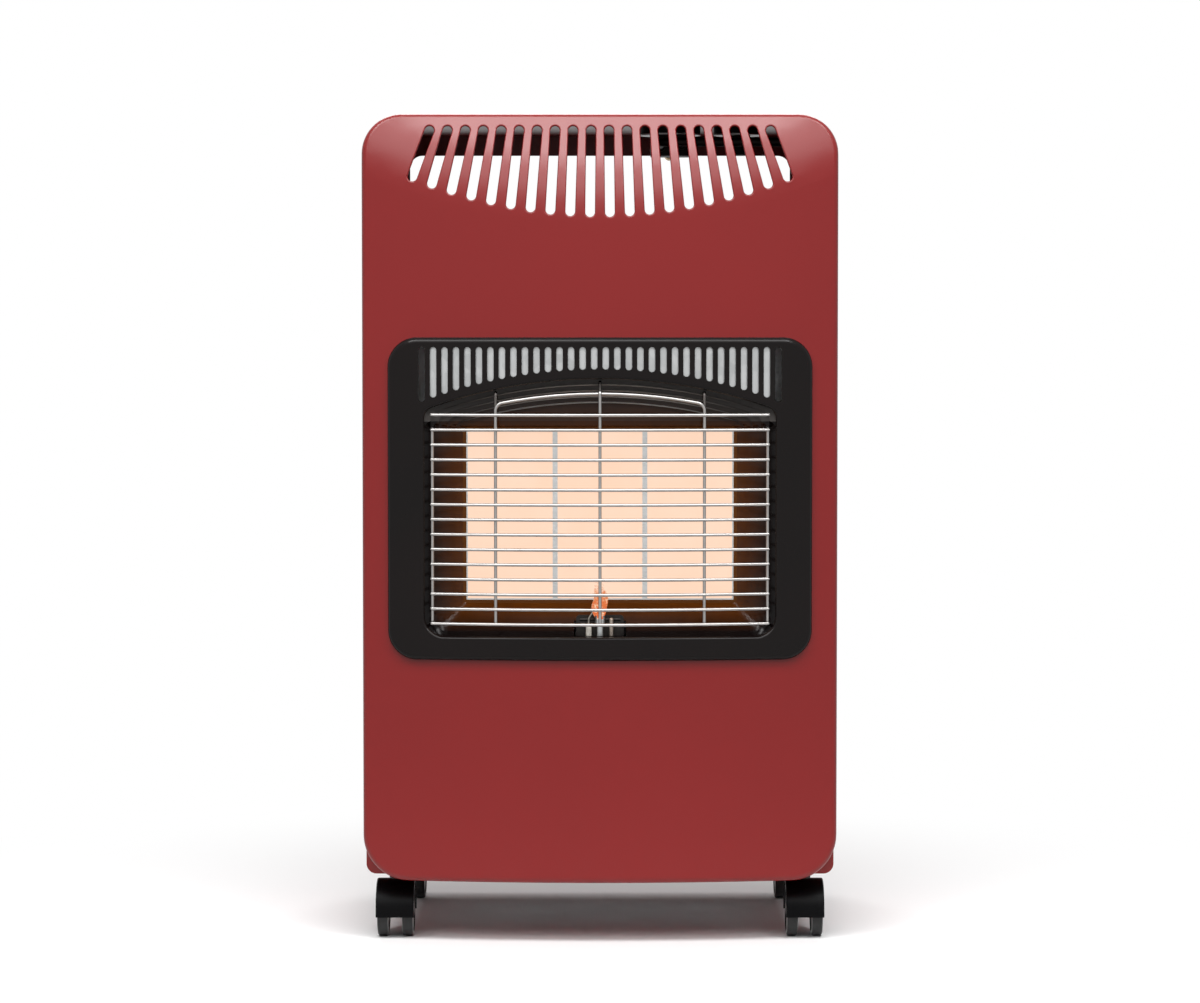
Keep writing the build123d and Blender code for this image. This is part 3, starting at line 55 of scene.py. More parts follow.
# %% [markdown]
# ## The camera
# The photograph looks straight at the front from a little above the middle, through a long lens. Far
# parts shrink little, so the lens is found from how much smaller the rear wheels are than the front
# ones. The camera's distance and tilt then follow from where the floor and the top edge fall.

# %% Stand the camera in front
IMAGE_WIDTH = 1200
FOCAL_PIXELS = 3597
SENSOR = 36.0
CAMERA_DISTANCE = 3.3205
CAMERA_HEIGHT = 0.5385
CAMERA_TILT = 2.65

lens = bpy.data.cameras.new("long_lens")
lens.sensor_fit = "HORIZONTAL"
lens.sensor_width = SENSOR
lens.lens = SENSOR * FOCAL_PIXELS / IMAGE_WIDTH
camera = bpy.data.objects.new("camera", lens)
camera.location = (0, -CAMERA_DISTANCE, CAMERA_HEIGHT)
camera.rotation_euler = (math.radians(90 - CAMERA_TILT), 0, 0)
scene.collection.objects.link(camera)
scene.camera = camera
print("lens", round(lens.lens, 1), "mm")

# %% [markdown]
# ## Colour and nodes
# Colours are written as sRGB hex values, as a paint chart gives them, and Blender's shaders want linear
# light. One function turns one into the other. A second function adds a node with its settings and its
# links, so that each finish below reads as a short list of what it is made of. A Mix node that works on
# colours has sockets that share their names, so these four are called by their numbers.

# %% Helpers for colours and nodes
SHARE = 0
FIRST = 6
SECOND = 7
MIXED = 2


def linear(hex_text):
    """Linear colour of an sRGB hex value: c / 12.92 near black, ((c + 0.055) / 1.055) ** 2.4 above."""
    c = np.array([int(hex_text[i:i + 2], 16) for i in (1, 3, 5)]) / 255
    light = np.where(c <= 0.04045, c / 12.92, ((c + 0.055) / 1.055) ** 2.4)
    return (*light.tolist(), 1.0)


def per_mm(size):
    """Texture scale at which one feature is `size` millimetres wide."""
    return 1 / (size * MM)


def plug(tree, node, inputs):
    """Give a node's sockets, by name or number, plain values or links from other nodes."""
    for key, value in inputs.items():
        if isinstance(value, bpy.types.NodeSocket):
            tree.links.new(value, node.inputs[key])
        else:
            node.inputs[key].default_value = value


def add(tree, kind, inputs, **settings):
    """Add a node: settings are its properties, inputs are what goes into its sockets."""
    node = tree.nodes.new("ShaderNode" + kind)
    for key, value in settings.items():
        setattr(node, key, value)
    plug(tree, node, inputs)
    return node


def new_finish(name, inputs):
    """A material with its Principled shader set, and the place of every point on the piece."""
    material = bpy.data.materials.new(name)
    material.use_nodes = True
    tree = material.node_tree
    shader = tree.nodes["Principled BSDF"]
    plug(tree, shader, inputs)
    place = add(tree, "TexCoord", {}).outputs["Object"]
    return material, tree, shader, place


def roughen(tree, shader, place, size, height):
    """Bump the surface with noise whose grains are `size` mm wide and `height` mm high."""
    grain = add(tree, "TexNoise", {"Vector": place, "Scale": per_mm(size), "Detail": 2.0}).outputs["Fac"]
    bump = add(tree, "Bump", {"Height": grain, "Distance": height * MM, "Strength": 1.0})
    plug(tree, shader, {"Normal": bump.outputs["Normal"]})
    return grain


print("enamel red in linear light", [round(c, 3) for c in linear("#7B0A0A")])

# %% [markdown]
# ## Sheet metal finishes
# The cabinet is pressed steel with a baked gloss enamel. Sprayed enamel levels out but keeps a faint
# orange peel, ripples a few millimetres apart, and its colour drifts a little over a hand's width. The
# ripples could be modelled, but they are microns high and show only as a wobble in the reflections, and a
# bump gives that without a single extra face. The window is the same sheet in black vitreous enamel: glass
# fused to steel, harder and glossier.

# %% Red enamel
def red_enamel():
    """Baked red enamel: a soft gloss with a faint orange peel."""
    material, tree, shader, place = new_finish(
        "baked_red_enamel", {"Roughness": 0.31, "Specular IOR Level": 0.46}
    )
    drift = add(tree, "TexNoise", {"Vector": place, "Scale": per_mm(140), "Detail": 3.0}).outputs["Fac"]
    cloud = add(tree, "TexNoise", {"Vector": place, "Scale": per_mm(45), "Detail": 4.0}).outputs["Fac"]
    colour = add(
        tree, "Mix", {SHARE: drift, FIRST: linear("#7B0A0A"), SECOND: linear("#820F0E")}, data_type="RGBA"
    ).outputs[MIXED]
    gloss = add(tree, "MapRange", {"Value": cloud, "To Min": 0.29, "To Max": 0.33}).outputs["Result"]
    plug(tree, shader, {"Base Color": colour, "Roughness": gloss})
    roughen(tree, shader, place, size=2.6, height=0.006)
    return material


red = red_enamel()
print("made", red.name)

# %% Black enamel of the window
def black_enamel():
    """Vitreous enamel: black glass fused to sheet, with a slight drift to a warmer black."""
    material, tree, shader, place = new_finish(
        "gloss_black_vitreous_enamel", {"Roughness": 0.17, "Specular IOR Level": 0.15}
    )
    drift = add(tree, "TexNoise", {"Vector": place, "Scale": per_mm(90), "Detail": 2.0}).outputs["Fac"]
    colour = add(
        tree, "Mix", {SHARE: drift, FIRST: linear("#0C0A0A"), SECOND: linear("#150E0D")}, data_type="RGBA"
    ).outputs[MIXED]
    peel = roughen(tree, shader, place, size=3.5, height=0.006)
    gloss = add(tree, "MapRange", {"Value": peel, "To Min": 0.14, "To Max": 0.2}).outputs["Result"]
    plug(tree, shader, {"Base Color": colour, "Roughness": gloss})
    return material


bezel_black = black_enamel()
print("made", bezel_black.name)

# %% [markdown]
# The cowl behind the window is the same black enamel, and its colour carries a painted glow: the light of
# the plaques, painted in as brown, the nearer to the plaques, the browner. A painted picture could carry
# that, but it would have to be fitted to every face, so the colour goes by depth instead, from black at
# the cowl's front to brown at its rear edge. The roof climbs in pressed steps. Their fronts, the faces
# whose normal points forward, are painted dark grey, a painted highlight where light falls on them, the
# foremost ones most.

# %% Black enamel of the cowl with a painted glow
GLOW_START = 23 * MM
ROOF_HEIGHT = 45 * MM
FORWARD = -0.7


def glow_painted_enamel(front_y, rear_y, roof_z):
    """Black enamel with a painted glow, brown from front_y to rear_y, and step fronts above roof_z painted
    grey as painted light.
    """
    material, tree, shader, place = new_finish(
        "black_enamel_with_painted_glow", {"Roughness": 0.11, "Specular IOR Level": 0.14}
    )
    spot = add(tree, "SeparateXYZ", {"Vector": place}).outputs
    # painted glow: the brown share below grows with depth, the plaques' light painted into the colour
    painted_glow_ramp = add(tree, "MapRange", {"Value": spot["Y"], "From Min": front_y, "From Max": rear_y})
    heat = painted_glow_ramp.outputs["Result"]
    cloud = add(tree, "TexNoise", {"Vector": place, "Scale": per_mm(26), "Detail": 3.0}).outputs["Fac"]
    uneven = add(tree, "MapRange", {"Value": cloud, "To Min": 0.7, "To Max": 1.25}).outputs["Result"]
    share = add(tree, "Math", {0: heat, 1: uneven}, operation="MULTIPLY", use_clamp=True).outputs["Value"]
    brown = add(
        tree, "Mix", {SHARE: share, FIRST: linear("#0F0909"), SECOND: linear("#5A2E09")}, data_type="RGBA"
    ).outputs[MIXED]
    # painted light: step fronts in the roof that face forward are painted dark grey, most at the front
    normal = tree.nodes["Texture Coordinate"].outputs["Normal"]
    facing = add(tree, "SeparateXYZ", {"Vector": normal}).outputs["Y"]
    front = add(tree, "Math", {0: facing, 1: FORWARD}, operation="LESS_THAN").outputs["Value"]
    roof = add(tree, "Math", {0: spot["Z"], 1: roof_z}, operation="GREATER_THAN").outputs["Value"]
    step = add(tree, "Math", {0: front, 1: roof}, operation="MULTIPLY").outputs["Value"]
    toward_front = add(tree, "Math", {0: 1.0, 1: heat}, operation="SUBTRACT").outputs["Value"]
    painted_step_light = add(tree, "Math", {0: step, 1: toward_front}, operation="MULTIPLY").outputs["Value"]
    colour = add(
        tree, "Mix", {SHARE: painted_step_light, FIRST: brown, SECOND: linear("#625D5A")}, data_type="RGBA"
    ).outputs[MIXED]
    peel = roughen(tree, shader, place, size=4.0, height=0.001)
    gloss = add(tree, "MapRange", {"Value": peel, "To Min": 0.09, "To Max": 0.13}).outputs["Result"]
    plug(tree, shader, {"Base Color": colour, "Roughness": gloss})
    return material


cowl_low, cowl_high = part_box("burner_cowl")
cowl_painted_glow = glow_painted_enamel(cowl_low.y + GLOW_START, cowl_high.y, cowl_high.z - ROOF_HEIGHT)
print("made", cowl_painted_glow.name)

# %% [markdown]
# ## Bare and plated metals
# Galvanised sheet shows spangle, zinc crystals about a centimetre across that each reflect a little
# differently. A Voronoi pattern has cells of just that kind, so it gives each crystal its own grey and
# gloss. Plated wire is bright and smooth. Cast aluminium is duller and grainy, and turned brass has a fine
# even grain. A metal keeps the default IOR, and its colour is what it reflects.

# %% Galvanised sheet
def galvanised_sheet(name, first, second):
    """Hot-dip zinc: crystals about 9 mm across, each with its own grey and gloss."""
    material, tree, shader, place = new_finish(name, {"Metallic": 0.85, "Roughness": 0.45})
    spangle = add(tree, "TexVoronoi", {"Vector": place, "Scale": per_mm(9)}).outputs["Color"]
    grey = add(tree, "RGBToBW", {"Color": spangle}).outputs["Val"]
    colour = add(
        tree, "Mix", {SHARE: grey, FIRST: linear(first), SECOND: linear(second)}, data_type="RGBA"
    ).outputs[MIXED]
    gloss = add(tree, "MapRange", {"Value": grey, "To Min": 0.38, "To Max": 0.55}).outputs["Result"]
    plug(tree, shader, {"Base Color": colour, "Roughness": gloss})
    roughen(tree, shader, place, size=1.2, height=0.006)
    return material


galvanised = galvanised_sheet("galvanised_steel_sheet", "#B9BBBC", "#D3D4D4")
vent_zinc = galvanised_sheet("dulled_galvanised_vent_plate", "#A3A5A5", "#AFB0B0")
print("made", galvanised.name, vent_zinc.name)

# %% [markdown]
# The frame that holds the plaques is bright round the glow and on its two ribs. Its outer margin, beside
# the cowl, is painted brown like the cowl, a painted glow from the plaques. A rectangle round the frame's
# middle tells the two apart.

# %% Painted glow on the margin of the burner frame
FRAME_FLANGE = 10 * MM
GLOW_MARGIN_INSET = 1.5 * MM


def frame_with_painted_glow(half_x, middle_z, half_z):
    """Bright zinc where |x| < half_x and |z - middle_z| < half_z, painted brown outside as a painted glow.
    """
    material, tree, shader, place = new_finish(
        "bright_zinc_with_painted_glow", {"Metallic": 0.85, "Roughness": 0.45}
    )
    spot = add(tree, "SeparateXYZ", {"Vector": place}).outputs
    rise = add(tree, "Math", {0: spot["Z"], 1: middle_z}, operation="SUBTRACT").outputs["Value"]
    beside = add(tree, "Math", {0: spot["X"]}, operation="ABSOLUTE").outputs["Value"]
    beyond = add(tree, "Math", {0: rise}, operation="ABSOLUTE").outputs["Value"]
    side = add(tree, "Math", {0: beside, 1: half_x}, operation="GREATER_THAN").outputs["Value"]
    end = add(tree, "Math", {0: beyond, 1: half_z}, operation="GREATER_THAN").outputs["Value"]
    margin = add(tree, "Math", {0: side, 1: end}, operation="MAXIMUM").outputs["Value"]
    cloud = add(tree, "TexNoise", {"Vector": place, "Scale": per_mm(9), "Detail": 3.0}).outputs["Fac"]
    bright = add(
        tree, "Mix", {SHARE: cloud, FIRST: linear("#BFC1C1"), SECOND: linear("#D4D5D5")}, data_type="RGBA"
    ).outputs[MIXED]
    # painted glow: the margin outside the bright rectangle is painted brown
    colour = add(
        tree, "Mix", {SHARE: margin, FIRST: bright, SECOND: linear("#5A320F")}, data_type="RGBA"
    ).outputs[MIXED]
    plug(tree, shader, {"Base Color": colour})
    roughen(tree, shader, place, size=1.2, height=0.006)
    return material


rim_low, rim_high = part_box("burner_frame")
bright_half_x = (rim_high.x - rim_low.x) / 2 - FRAME_FLANGE - GLOW_MARGIN_INSET
bright_half_z = (rim_high.z - rim_low.z) / 2 - FRAME_FLANGE - GLOW_MARGIN_INSET
frame_zinc = frame_with_painted_glow(bright_half_x, (rim_low.z + rim_high.z) / 2, bright_half_z)
print("bright frame in mm", round(2 * bright_half_x / MM, 1), round(2 * bright_half_z / MM, 1))

# %% Plated, cast and turned metals
def metal(name, first, second, roughness, size, height):
    """A bare metal whose tone and gloss drift over grains `size` mm wide."""
    material, tree, shader, place = new_finish(name, {"Metallic": 1.0, "Roughness": roughness})
    grain = roughen(tree, shader, place, size, height)
    colour = add(
        tree, "Mix", {SHARE: grain, FIRST: linear(first), SECOND: linear(second)}, data_type="RGBA"
    ).outputs[MIXED]
    gloss = add(tree, "MapRange", {"Value": grain, "To Min": roughness * 0.8, "To Max": roughness * 1.25})
    plug(tree, shader, {"Base Color": colour, "Roughness": gloss.outputs["Result"]})
    return material


wire = metal("bright_nickel_plated_wire", "#939190", "#A8A5A2", roughness=0.3, size=6.0, height=0.006)
bracket_steel = metal("heat_darkened_steel", "#2B2A2A", "#3F3B38", roughness=0.4, size=2.5, height=0.006)
zinc = metal("zinc_plated_steel", "#B4B8BA", "#D2D3D1", roughness=0.32, size=1.5, height=0.006)
aluminium = metal("sand_cast_aluminium", "#A4A6A8", "#BDBEBF", roughness=0.5, size=0.9, height=0.03)
brass = metal("turned_brass", "#B08A3F", "#C9A55A", roughness=0.3, size=0.8, height=0.006)
probe = metal("heat_tinted_steel", "#8C7A66", "#B7AFA8", roughness=0.36, size=2.0, height=0.006)
tube = metal("black_coated_steel_tube", "#1B1918", "#262322", roughness=0.5, size=1.6, height=0.01)
print("made", wire.name, bracket_steel.name, zinc.name, aluminium.name, brass.name, probe.name, tube.name)

# %% [markdown]
# ## Ceramic
# Each plaque is a ceramic block drilled with thousands of fine holes, and gas burns just under its face.
# It glows a pale orange, a touch paler where the flame is hottest. Cutting the holes would take millions
# of faces, so a pattern of dots stands for them. They are about 1.3 mm apart, too fine for this picture,
# so they are drawn 2.6 mm apart. The spark electrode is glazed porcelain with a bare steel wire.

# %% Glowing plaques and porcelain
HOLE_PITCH = 2.6
INSULATOR_SHARE = 0.68


def glowing_ceramic():
    """Perforated ceramic at working heat: a pale orange glow with slightly deeper pin holes."""
    material, tree, shader, place = new_finish(
        "glowing_perforated_ceramic",
        {
            "Base Color": linear("#5A4034"),
            "Roughness": 0.9,
            "Specular IOR Level": 0.1,
            "Emission Strength": 1.0,
        },
    )
    holes = add(tree, "TexVoronoi", {"Vector": place, "Scale": per_mm(HOLE_PITCH), "Randomness": 0.12})
    away = holes.outputs["Distance"]
    pin = add(tree, "MapRange", {"Value": away, "From Min": 0.12, "From Max": 0.3}).outputs["Result"]
    heat = add(tree, "TexNoise", {"Vector": place, "Scale": per_mm(38), "Detail": 3.0}).outputs["Fac"]
    face = add(
        tree, "Mix", {SHARE: heat, FIRST: linear("#F9D2B6"), SECOND: linear("#FCDDC6")}, data_type="RGBA"
    ).outputs[MIXED]
    glow = add(
        tree, "Mix", {SHARE: pin, FIRST: linear("#F3C6A6"), SECOND: face}, data_type="RGBA"
    ).outputs[MIXED]
    plug(tree, shader, {"Emission Color": glow})
    return material


def porcelain_with_wire(tip_z):
    """Glazed porcelain up to the height tip_z, and a bare steel wire above it."""
    material, tree, shader, place = new_finish(
        "glazed_porcelain_electrode", {"Roughness": 0.18, "Specular IOR Level": 0.5}
    )
    height = add(tree, "SeparateXYZ", {"Vector": place}).outputs["Z"]
    above = add(tree, "Math", {0: height, 1: tip_z}, operation="GREATER_THAN").outputs["Value"]
    colour = add(
        tree, "Mix", {SHARE: above, FIRST: linear("#E6E1D6"), SECOND: linear("#9A948C")}, data_type="RGBA"
    ).outputs[MIXED]
    plug(tree, shader, {"Base Color": colour, "Metallic": above})
    roughen(tree, shader, place, size=1.4, height=0.004)
    return material


ceramic = glowing_ceramic()
electrode_low, electrode_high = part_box("spark_electrode")
insulator_top = electrode_low.z + INSULATOR_SHARE * (electrode_high.z - electrode_low.z)
porcelain = porcelain_with_wire(insulator_top)
print("made", ceramic.name, porcelain.name)

# %% [markdown]
# ## Plastics
# The knob, its well and the casters are moulded black nylon. A mould is spark-eroded, so the plastic
# comes out with a fine even grain. The wheels have black treads, and their side faces are painted pale
# grey, a painted highlight for the light that falls on them. They could be two pieces, but the side faces
# are the ones that look along the axle, so the normal's X part tells them from the tread in one finish.

# %% Moulded plastics
def moulded_plastic(name, first, second, roughness, gloss, size, height):
    """Moulded nylon with the mould's spark-eroded grain."""
    material, tree, shader, place = new_finish(
        name, {"Roughness": roughness, "Specular IOR Level": gloss}
    )
    grain = roughen(tree, shader, place, size, height)
    colour = add(
        tree, "Mix", {SHARE: grain, FIRST: linear(first), SECOND: linear(second)}, data_type="RGBA"
    ).outputs[MIXED]
    haze = add(tree, "MapRange", {"Value": grain, "To Min": roughness - 0.06, "To Max": roughness + 0.06})
    plug(tree, shader, {"Base Color": colour, "Roughness": haze.outputs["Result"]})
    return material


def wheel_plastic():
    """Black tread with side faces painted pale grey as painted light, told apart by the normal along the
    axle.
    """
    material, tree, shader, place = new_finish(
        "black_wheel_with_painted_side_light", {"Roughness": 0.4, "Specular IOR Level": 0.3}
    )
    normal = tree.nodes["Texture Coordinate"].outputs["Normal"]
    across = add(tree, "SeparateXYZ", {"Vector": normal}).outputs["X"]
    sideways = add(tree, "Math", {0: across}, operation="ABSOLUTE").outputs["Value"]
    # painted highlight: faces that look along the axle are painted pale grey
    lit_side = add(tree, "MapRange", {"Value": sideways, "From Min": 0.75, "From Max": 0.9}).outputs["Result"]
    scuff = add(tree, "TexNoise", {"Vector": place, "Scale": per_mm(5), "Detail": 4.0}).outputs["Fac"]
    tread = add(
        tree, "Mix", {SHARE: scuff, FIRST: linear("#121212"), SECOND: linear("#2B2B2B")}, data_type="RGBA"
    ).outputs[MIXED]
    colour = add(
        tree, "Mix", {SHARE: lit_side, FIRST: tread, SECOND: linear("#9C9C9C")}, data_type="RGBA"
    ).outputs[MIXED]
    plug(tree, shader, {"Base Color": colour})
    roughen(tree, shader, place, size=0.9, height=0.01)
    return material


knob_black = moulded_plastic(
    "grained_black_nylon", "#141415", "#1E1E1F", roughness=0.5, gloss=0.14, size=0.8, height=0.02
)
caster_black = moulded_plastic(
    "smooth_black_nylon", "#050506", "#0B0B0C", roughness=0.36, gloss=0.06, size=2.2, height=0.008
)
wheel = wheel_plastic()
print("made", knob_black.name, caster_black.name, wheel.name)

# %% [markdown]
# ## Dressing the frame
# The record names a material slot for every node. Each slot gets its finish here, and a few nodes that
# share a slot in the record but differ on the real heater get their own.

# %% Give every node its finish
slot_finish = {
    "red_enamel": red,
    "black_enamel": bezel_black,
    "galvanised_steel": galvanised,
    "zinc_steel": zinc,
    "plated_wire": wire,
    "plaque_ceramic": ceramic,
    "aluminium": aluminium,
    "brass": brass,
    "dark_pipe": tube,
    "probe_steel": probe,
    "porcelain": porcelain,
    "black_plastic": knob_black,
    "caster_plastic": caster_black,
    "wheel_plastic": wheel,
    "axle_steel": zinc,
}
own_finish = {
    "burner_cowl": cowl_painted_glow,
    "vent_plate": vent_zinc,
    "burner_frame": frame_zinc,
    "pilot_bracket": bracket_steel,
    "pilot_burner": zinc,
}
for part in frame["record"]["subparts"]:
    name = part["node"]
    mesh = nodes[name].data
    mesh.materials.clear()
    mesh.materials.append(own_finish.get(name, slot_finish[part["material_slot"]]))

# %% [markdown]
# ## Surfaces from arrays
# New pieces are grids of points. A function gives every point of the grid at once from two parameters,
# and the faces join each point to its neighbours. The last column joins the first, so each piece is a
# tube, and its first and last rows shrink to a point, a pole, so it is closed.

# %% Grids to meshes
def grid_piece(name, points, material, body):
    """Mesh from an array of rows x columns x 3 that closes round its columns, with a pole at each end."""
    rows, columns, _ = points.shape
    ring = points[1:-1].reshape(-1, 3)
    corners = np.vstack([ring, points[0, :1], points[-1, :1]])
    index = np.arange((rows - 2) * columns).reshape(rows - 2, columns)
    right = np.roll(index, -1, axis=1)
    quads = np.stack([index[:-1], right[:-1], right[1:], index[1:]], axis=-1).reshape(-1, 4)
    foot = np.full(columns, len(ring))
    tip = np.full(columns, len(ring) + 1)
    low = np.stack([foot, right[0], index[0]], axis=-1)
    high = np.stack([tip, index[-1], right[-1]], axis=-1)
    mesh = bpy.data.meshes.new(name)
    mesh.from_pydata(corners.tolist(), [], quads.tolist() + low.tolist() + high.tolist())
    mesh.shade_smooth()
    mesh.materials.append(material)
    piece = bpy.data.objects.new(name, mesh)
    scene.collection.objects.link(piece)
    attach(piece, body)


print("grid helper ready")

# %% [markdown]
# ## Rolled edges in the cowl
# The cowl's arch climbs in four pressed steps, and the edge of each step is rolled. A roll is a thin bead
# that follows the arch. A bevelled curve could draw it, but a circle carried along the arch as an array
# also thins to a point at both ends, where the roll runs out. Its enamel is painted grey in the middle,
# a painted highlight where the light falls, and it stays black towards the ends.

# %% Painted highlight on the rolled edges
HIGHLIGHT_REACH = 30 * MM
HIGHLIGHT_END_REACH = 130 * MM


def highlight_painted_enamel(highlight_x, highlight_end_x):
    """Black enamel painted grey as a painted highlight where |x| is under highlight_x, black again from
    highlight_end_x outwards.
    """
    material, tree, shader, place = new_finish(
        "black_enamel_edge_painted_highlight", {"Roughness": 0.34, "Specular IOR Level": 0.3}
    )
    across = add(tree, "SeparateXYZ", {"Vector": place}).outputs["X"]
    reach = add(tree, "Math", {0: across}, operation="ABSOLUTE").outputs["Value"]
    fading = add(tree, "MapRange", {"Value": reach, "From Min": highlight_x, "From Max": highlight_end_x})
    fade = fading.outputs["Result"]
    # painted highlight: grey in the middle of each bead, black towards its ends
    colour = add(
        tree, "Mix", {SHARE: fade, FIRST: linear("#C4BFBB"), SECOND: linear("#1C1613")}, data_type="RGBA"
    ).outputs[MIXED]
    plug(tree, shader, {"Base Color": colour})
    roughen(tree, shader, place, size=3.0, height=0.006)
    return material


highlit_edge = highlight_painted_enamel(HIGHLIGHT_REACH, HIGHLIGHT_END_REACH)
print("made", highlit_edge.name)

# %% Beads along the steps
STEPS = 4
STEP_DROP = 5.3 * MM
STEP_DEPTH = 5.2 * MM
ARCH_RADIUS = 447.75 * MM
FLANGE_RISE = 7.5 * MM
BEAD = 0.7 * MM
BEAD_REACH = 140 * MM
arch_top = cowl_high.z - FLANGE_RISE
throat_y = cowl_high.y - (STEPS + 1) * STEP_DEPTH


def step_bead(step):
    """Circle of radius BEAD * (1 - t ** 8) carried along z = top - R + sqrt(R ** 2 - x ** 2)."""
    t = np.linspace(-1, 1, 61)[:, None]
    a = np.linspace(0, 2 * np.pi, 10, endpoint=False)[None, :]
    x = (BEAD_REACH - step * STEP_DEPTH) * t
    r = BEAD * (1 - t ** 8)
    y = throat_y + step * STEP_DEPTH + BEAD / 2 + r * np.cos(a)
    top = arch_top - (step + 1) * STEP_DROP + BEAD / 2
    z = top - ARCH_RADIUS + np.sqrt(ARCH_RADIUS ** 2 - x ** 2) + r * np.sin(a)
    return np.stack([x + 0 * a, y, z], axis=-1)


for step in range(STEPS):
    grid_piece(f"cowl_bead_{step + 1}", step_bead(step), highlit_edge, "cabinet")
print("beads", STEPS)

# %% [markdown]
# ## The pilot flame
# A small gas flame is a set of thin tongues that rise, sway and taper. It could be simulated as gas, but
# that can't be exported, so each tongue is a flattened tube round a swaying centre line, widest a third
# of the way up. Its glow fades and breaks up towards the tip, so the shader lets more and more light
# through there. The flame starts inside the pilot burner's shield, a little under its top.

# %% Flame finish
FLAME_HEIGHT = 52 * MM
FLAME_SINK = 7 * MM


def flame_glow(foot_z, tip_z):
    """Burning gas: orange light that thins out with height and with patches of noise."""
    material, tree, shader, place = new_finish(
        "burning_gas",
        {
            "Base Color": linear("#000000"),
            "Roughness": 1.0,
            "Specular IOR Level": 0.0,
            "Emission Strength": 1.0,
        },
    )
    height = add(tree, "SeparateXYZ", {"Vector": place}).outputs["Z"]
    rising = add(tree, "MapRange", {"Value": height, "From Min": foot_z, "From Max": tip_z})
    rise = rising.outputs["Result"]
    spark = add(tree, "TexNoise", {"Vector": place, "Scale": per_mm(2.2), "Detail": 3.0}).outputs["Fac"]
    fleck = add(tree, "MapRange", {"Value": spark, "From Min": 0.52, "From Max": 0.66}).outputs["Result"]
    orange = add(
        tree, "Mix", {SHARE: rise, FIRST: linear("#E0622C"), SECOND: linear("#E69A68")}, data_type="RGBA"
    ).outputs[MIXED]
    colour = add(
        tree, "Mix", {SHARE: fleck, FIRST: orange, SECOND: linear("#FBD3AE")}, data_type="RGBA"
    ).outputs[MIXED]
    patch = add(tree, "TexNoise", {"Vector": place, "Scale": per_mm(2.4), "Detail": 5.0}).outputs["Fac"]
    thin = add(tree, "Math", {0: patch, 1: rise}, operation="SUBTRACT").outputs["Value"]
    veil = add(tree, "MapRange", {"Value": thin, "From Min": -0.15, "From Max": 0.2}).outputs["Result"]
    plug(tree, shader, {"Emission Color": colour, "Alpha": veil})
    return material


pilot_low, pilot_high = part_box("pilot_burner")
flame_foot = pilot_high.z - FLAME_SINK
flame_finish = flame_glow(flame_foot, flame_foot + FLAME_HEIGHT)
print("flame stands", round(FLAME_HEIGHT / MM), "mm high")

# %% Flame tongues
def tongue(lean, sway, width, share, turn):
    """Tube round a line that leans and sways by a sine, in mm, up to a share of the flame's height.

    Its half-width at t up the line is width * sin(pi * t ** 0.7), and it is 0.45 as deep as wide.
    """
    t = np.linspace(0, 1, 26)[:, None]
    a = np.linspace(0, 2 * np.pi, 14, endpoint=False)[None, :]
    middle_x = lean * t + sway * np.sin(2.2 * np.pi * t + turn) * t
    middle_y = 0.5 * sway * np.cos(1.7 * np.pi * t + turn) * t
    half = width * np.sin(np.pi * t ** 0.7)
    x = (middle_x + half * np.cos(a)) * MM
    y = (middle_y + 0.45 * half * np.sin(a)) * MM
    z = share * FLAME_HEIGHT * t + 0 * a
    centre = np.array([0, (pilot_low.y + pilot_high.y) / 2, flame_foot])
    return np.stack([x, y, z], axis=-1) + centre


tongues = {
    "pilot_flame_middle": tongue(lean=1.0, sway=2.5, width=5.5, share=1.0, turn=0.4),
    "pilot_flame_left": tongue(lean=-6.0, sway=2.0, width=4.0, share=0.55, turn=1.9),
    "pilot_flame_right": tongue(lean=5.0, sway=2.0, width=3.6, share=0.62, turn=3.4),
}
for name, points in tongues.items():
    grid_piece(name, points, flame_finish, "cabinet")
print("tongues", len(tongues))

# %% [markdown]
# ## Printed marks
# The flame control has a white wedge round its well that thickens from low to high, with a tick for the
# pilot position and one for off. A white line on the knob's grip shows where it points. A picture could
# carry them, but a mark made as a thin strip of ink stays sharp at any distance and can turn with the
# knob. Each strip follows a line of points and stands a twentieth of a millimetre proud.

# %% How a mark is laid
INK = 0.05 * MM
ink = new_finish("white_printing_ink", {"Base Color": linear("#E4E2DC"), "Roughness": 0.55})[0]


def printed_mark(name, middle, across, half, body):
    """Strip of ink: points middle + half * cos(a) * across, raised by INK * sin(a), closed at its ends."""
    a = np.linspace(0, 2 * np.pi, 8, endpoint=False)
    half = half.copy()
    half[[0, -1]] = 0
    points = middle[:, None, :] + (half[:, None] * np.cos(a))[..., None] * across[:, None, :]
    points[..., 2] += INK * np.sin(a) * (half > 0)[:, None]
    grid_piece(name, points, ink, body)


def spoke(angle):
    """Unit vectors that point out from the knob's axis and round it, at an angle in degrees."""
    turn = np.radians(angle)
    flat = np.zeros_like(turn)
    outward = np.stack([np.cos(turn), np.sin(turn), flat], axis=-1)
    around = np.stack([-np.sin(turn), np.cos(turn), flat], axis=-1)
    return outward, around


def straight_mark(name, centre, angle, inner, outer, half, body):
    """Mark of even width along the spoke at an angle, from the radius inner to the radius outer."""
    outward, around = spoke(np.full(12, angle))
    reach = np.linspace(inner, outer, 12)[:, None]
    printed_mark(name, centre + reach * outward, around, np.full(12, half), body)


print("made", ink.name)

# %% Marks round the knob
WEDGE_START = 75.0
WEDGE_SWEEP = 120.0
WEDGE_RADIUS = 33.5 * MM
WEDGE_HALF = 0.4 * MM
WEDGE_GROWTH = 1.2 * MM
TICK_ANGLES = {"pilot_tick": 55.0, "off_tick": 30.0}
TICK_INNER = 31.6 * MM
TICK_OUTER = 36.0 * MM
TICK_HALF = 0.6 * MM
POINTER_ANGLE = 180.0
POINTER_INNER = 5 * MM
POINTER_OUTER = 15 * MM
POINTER_HALF = 0.9 * MM

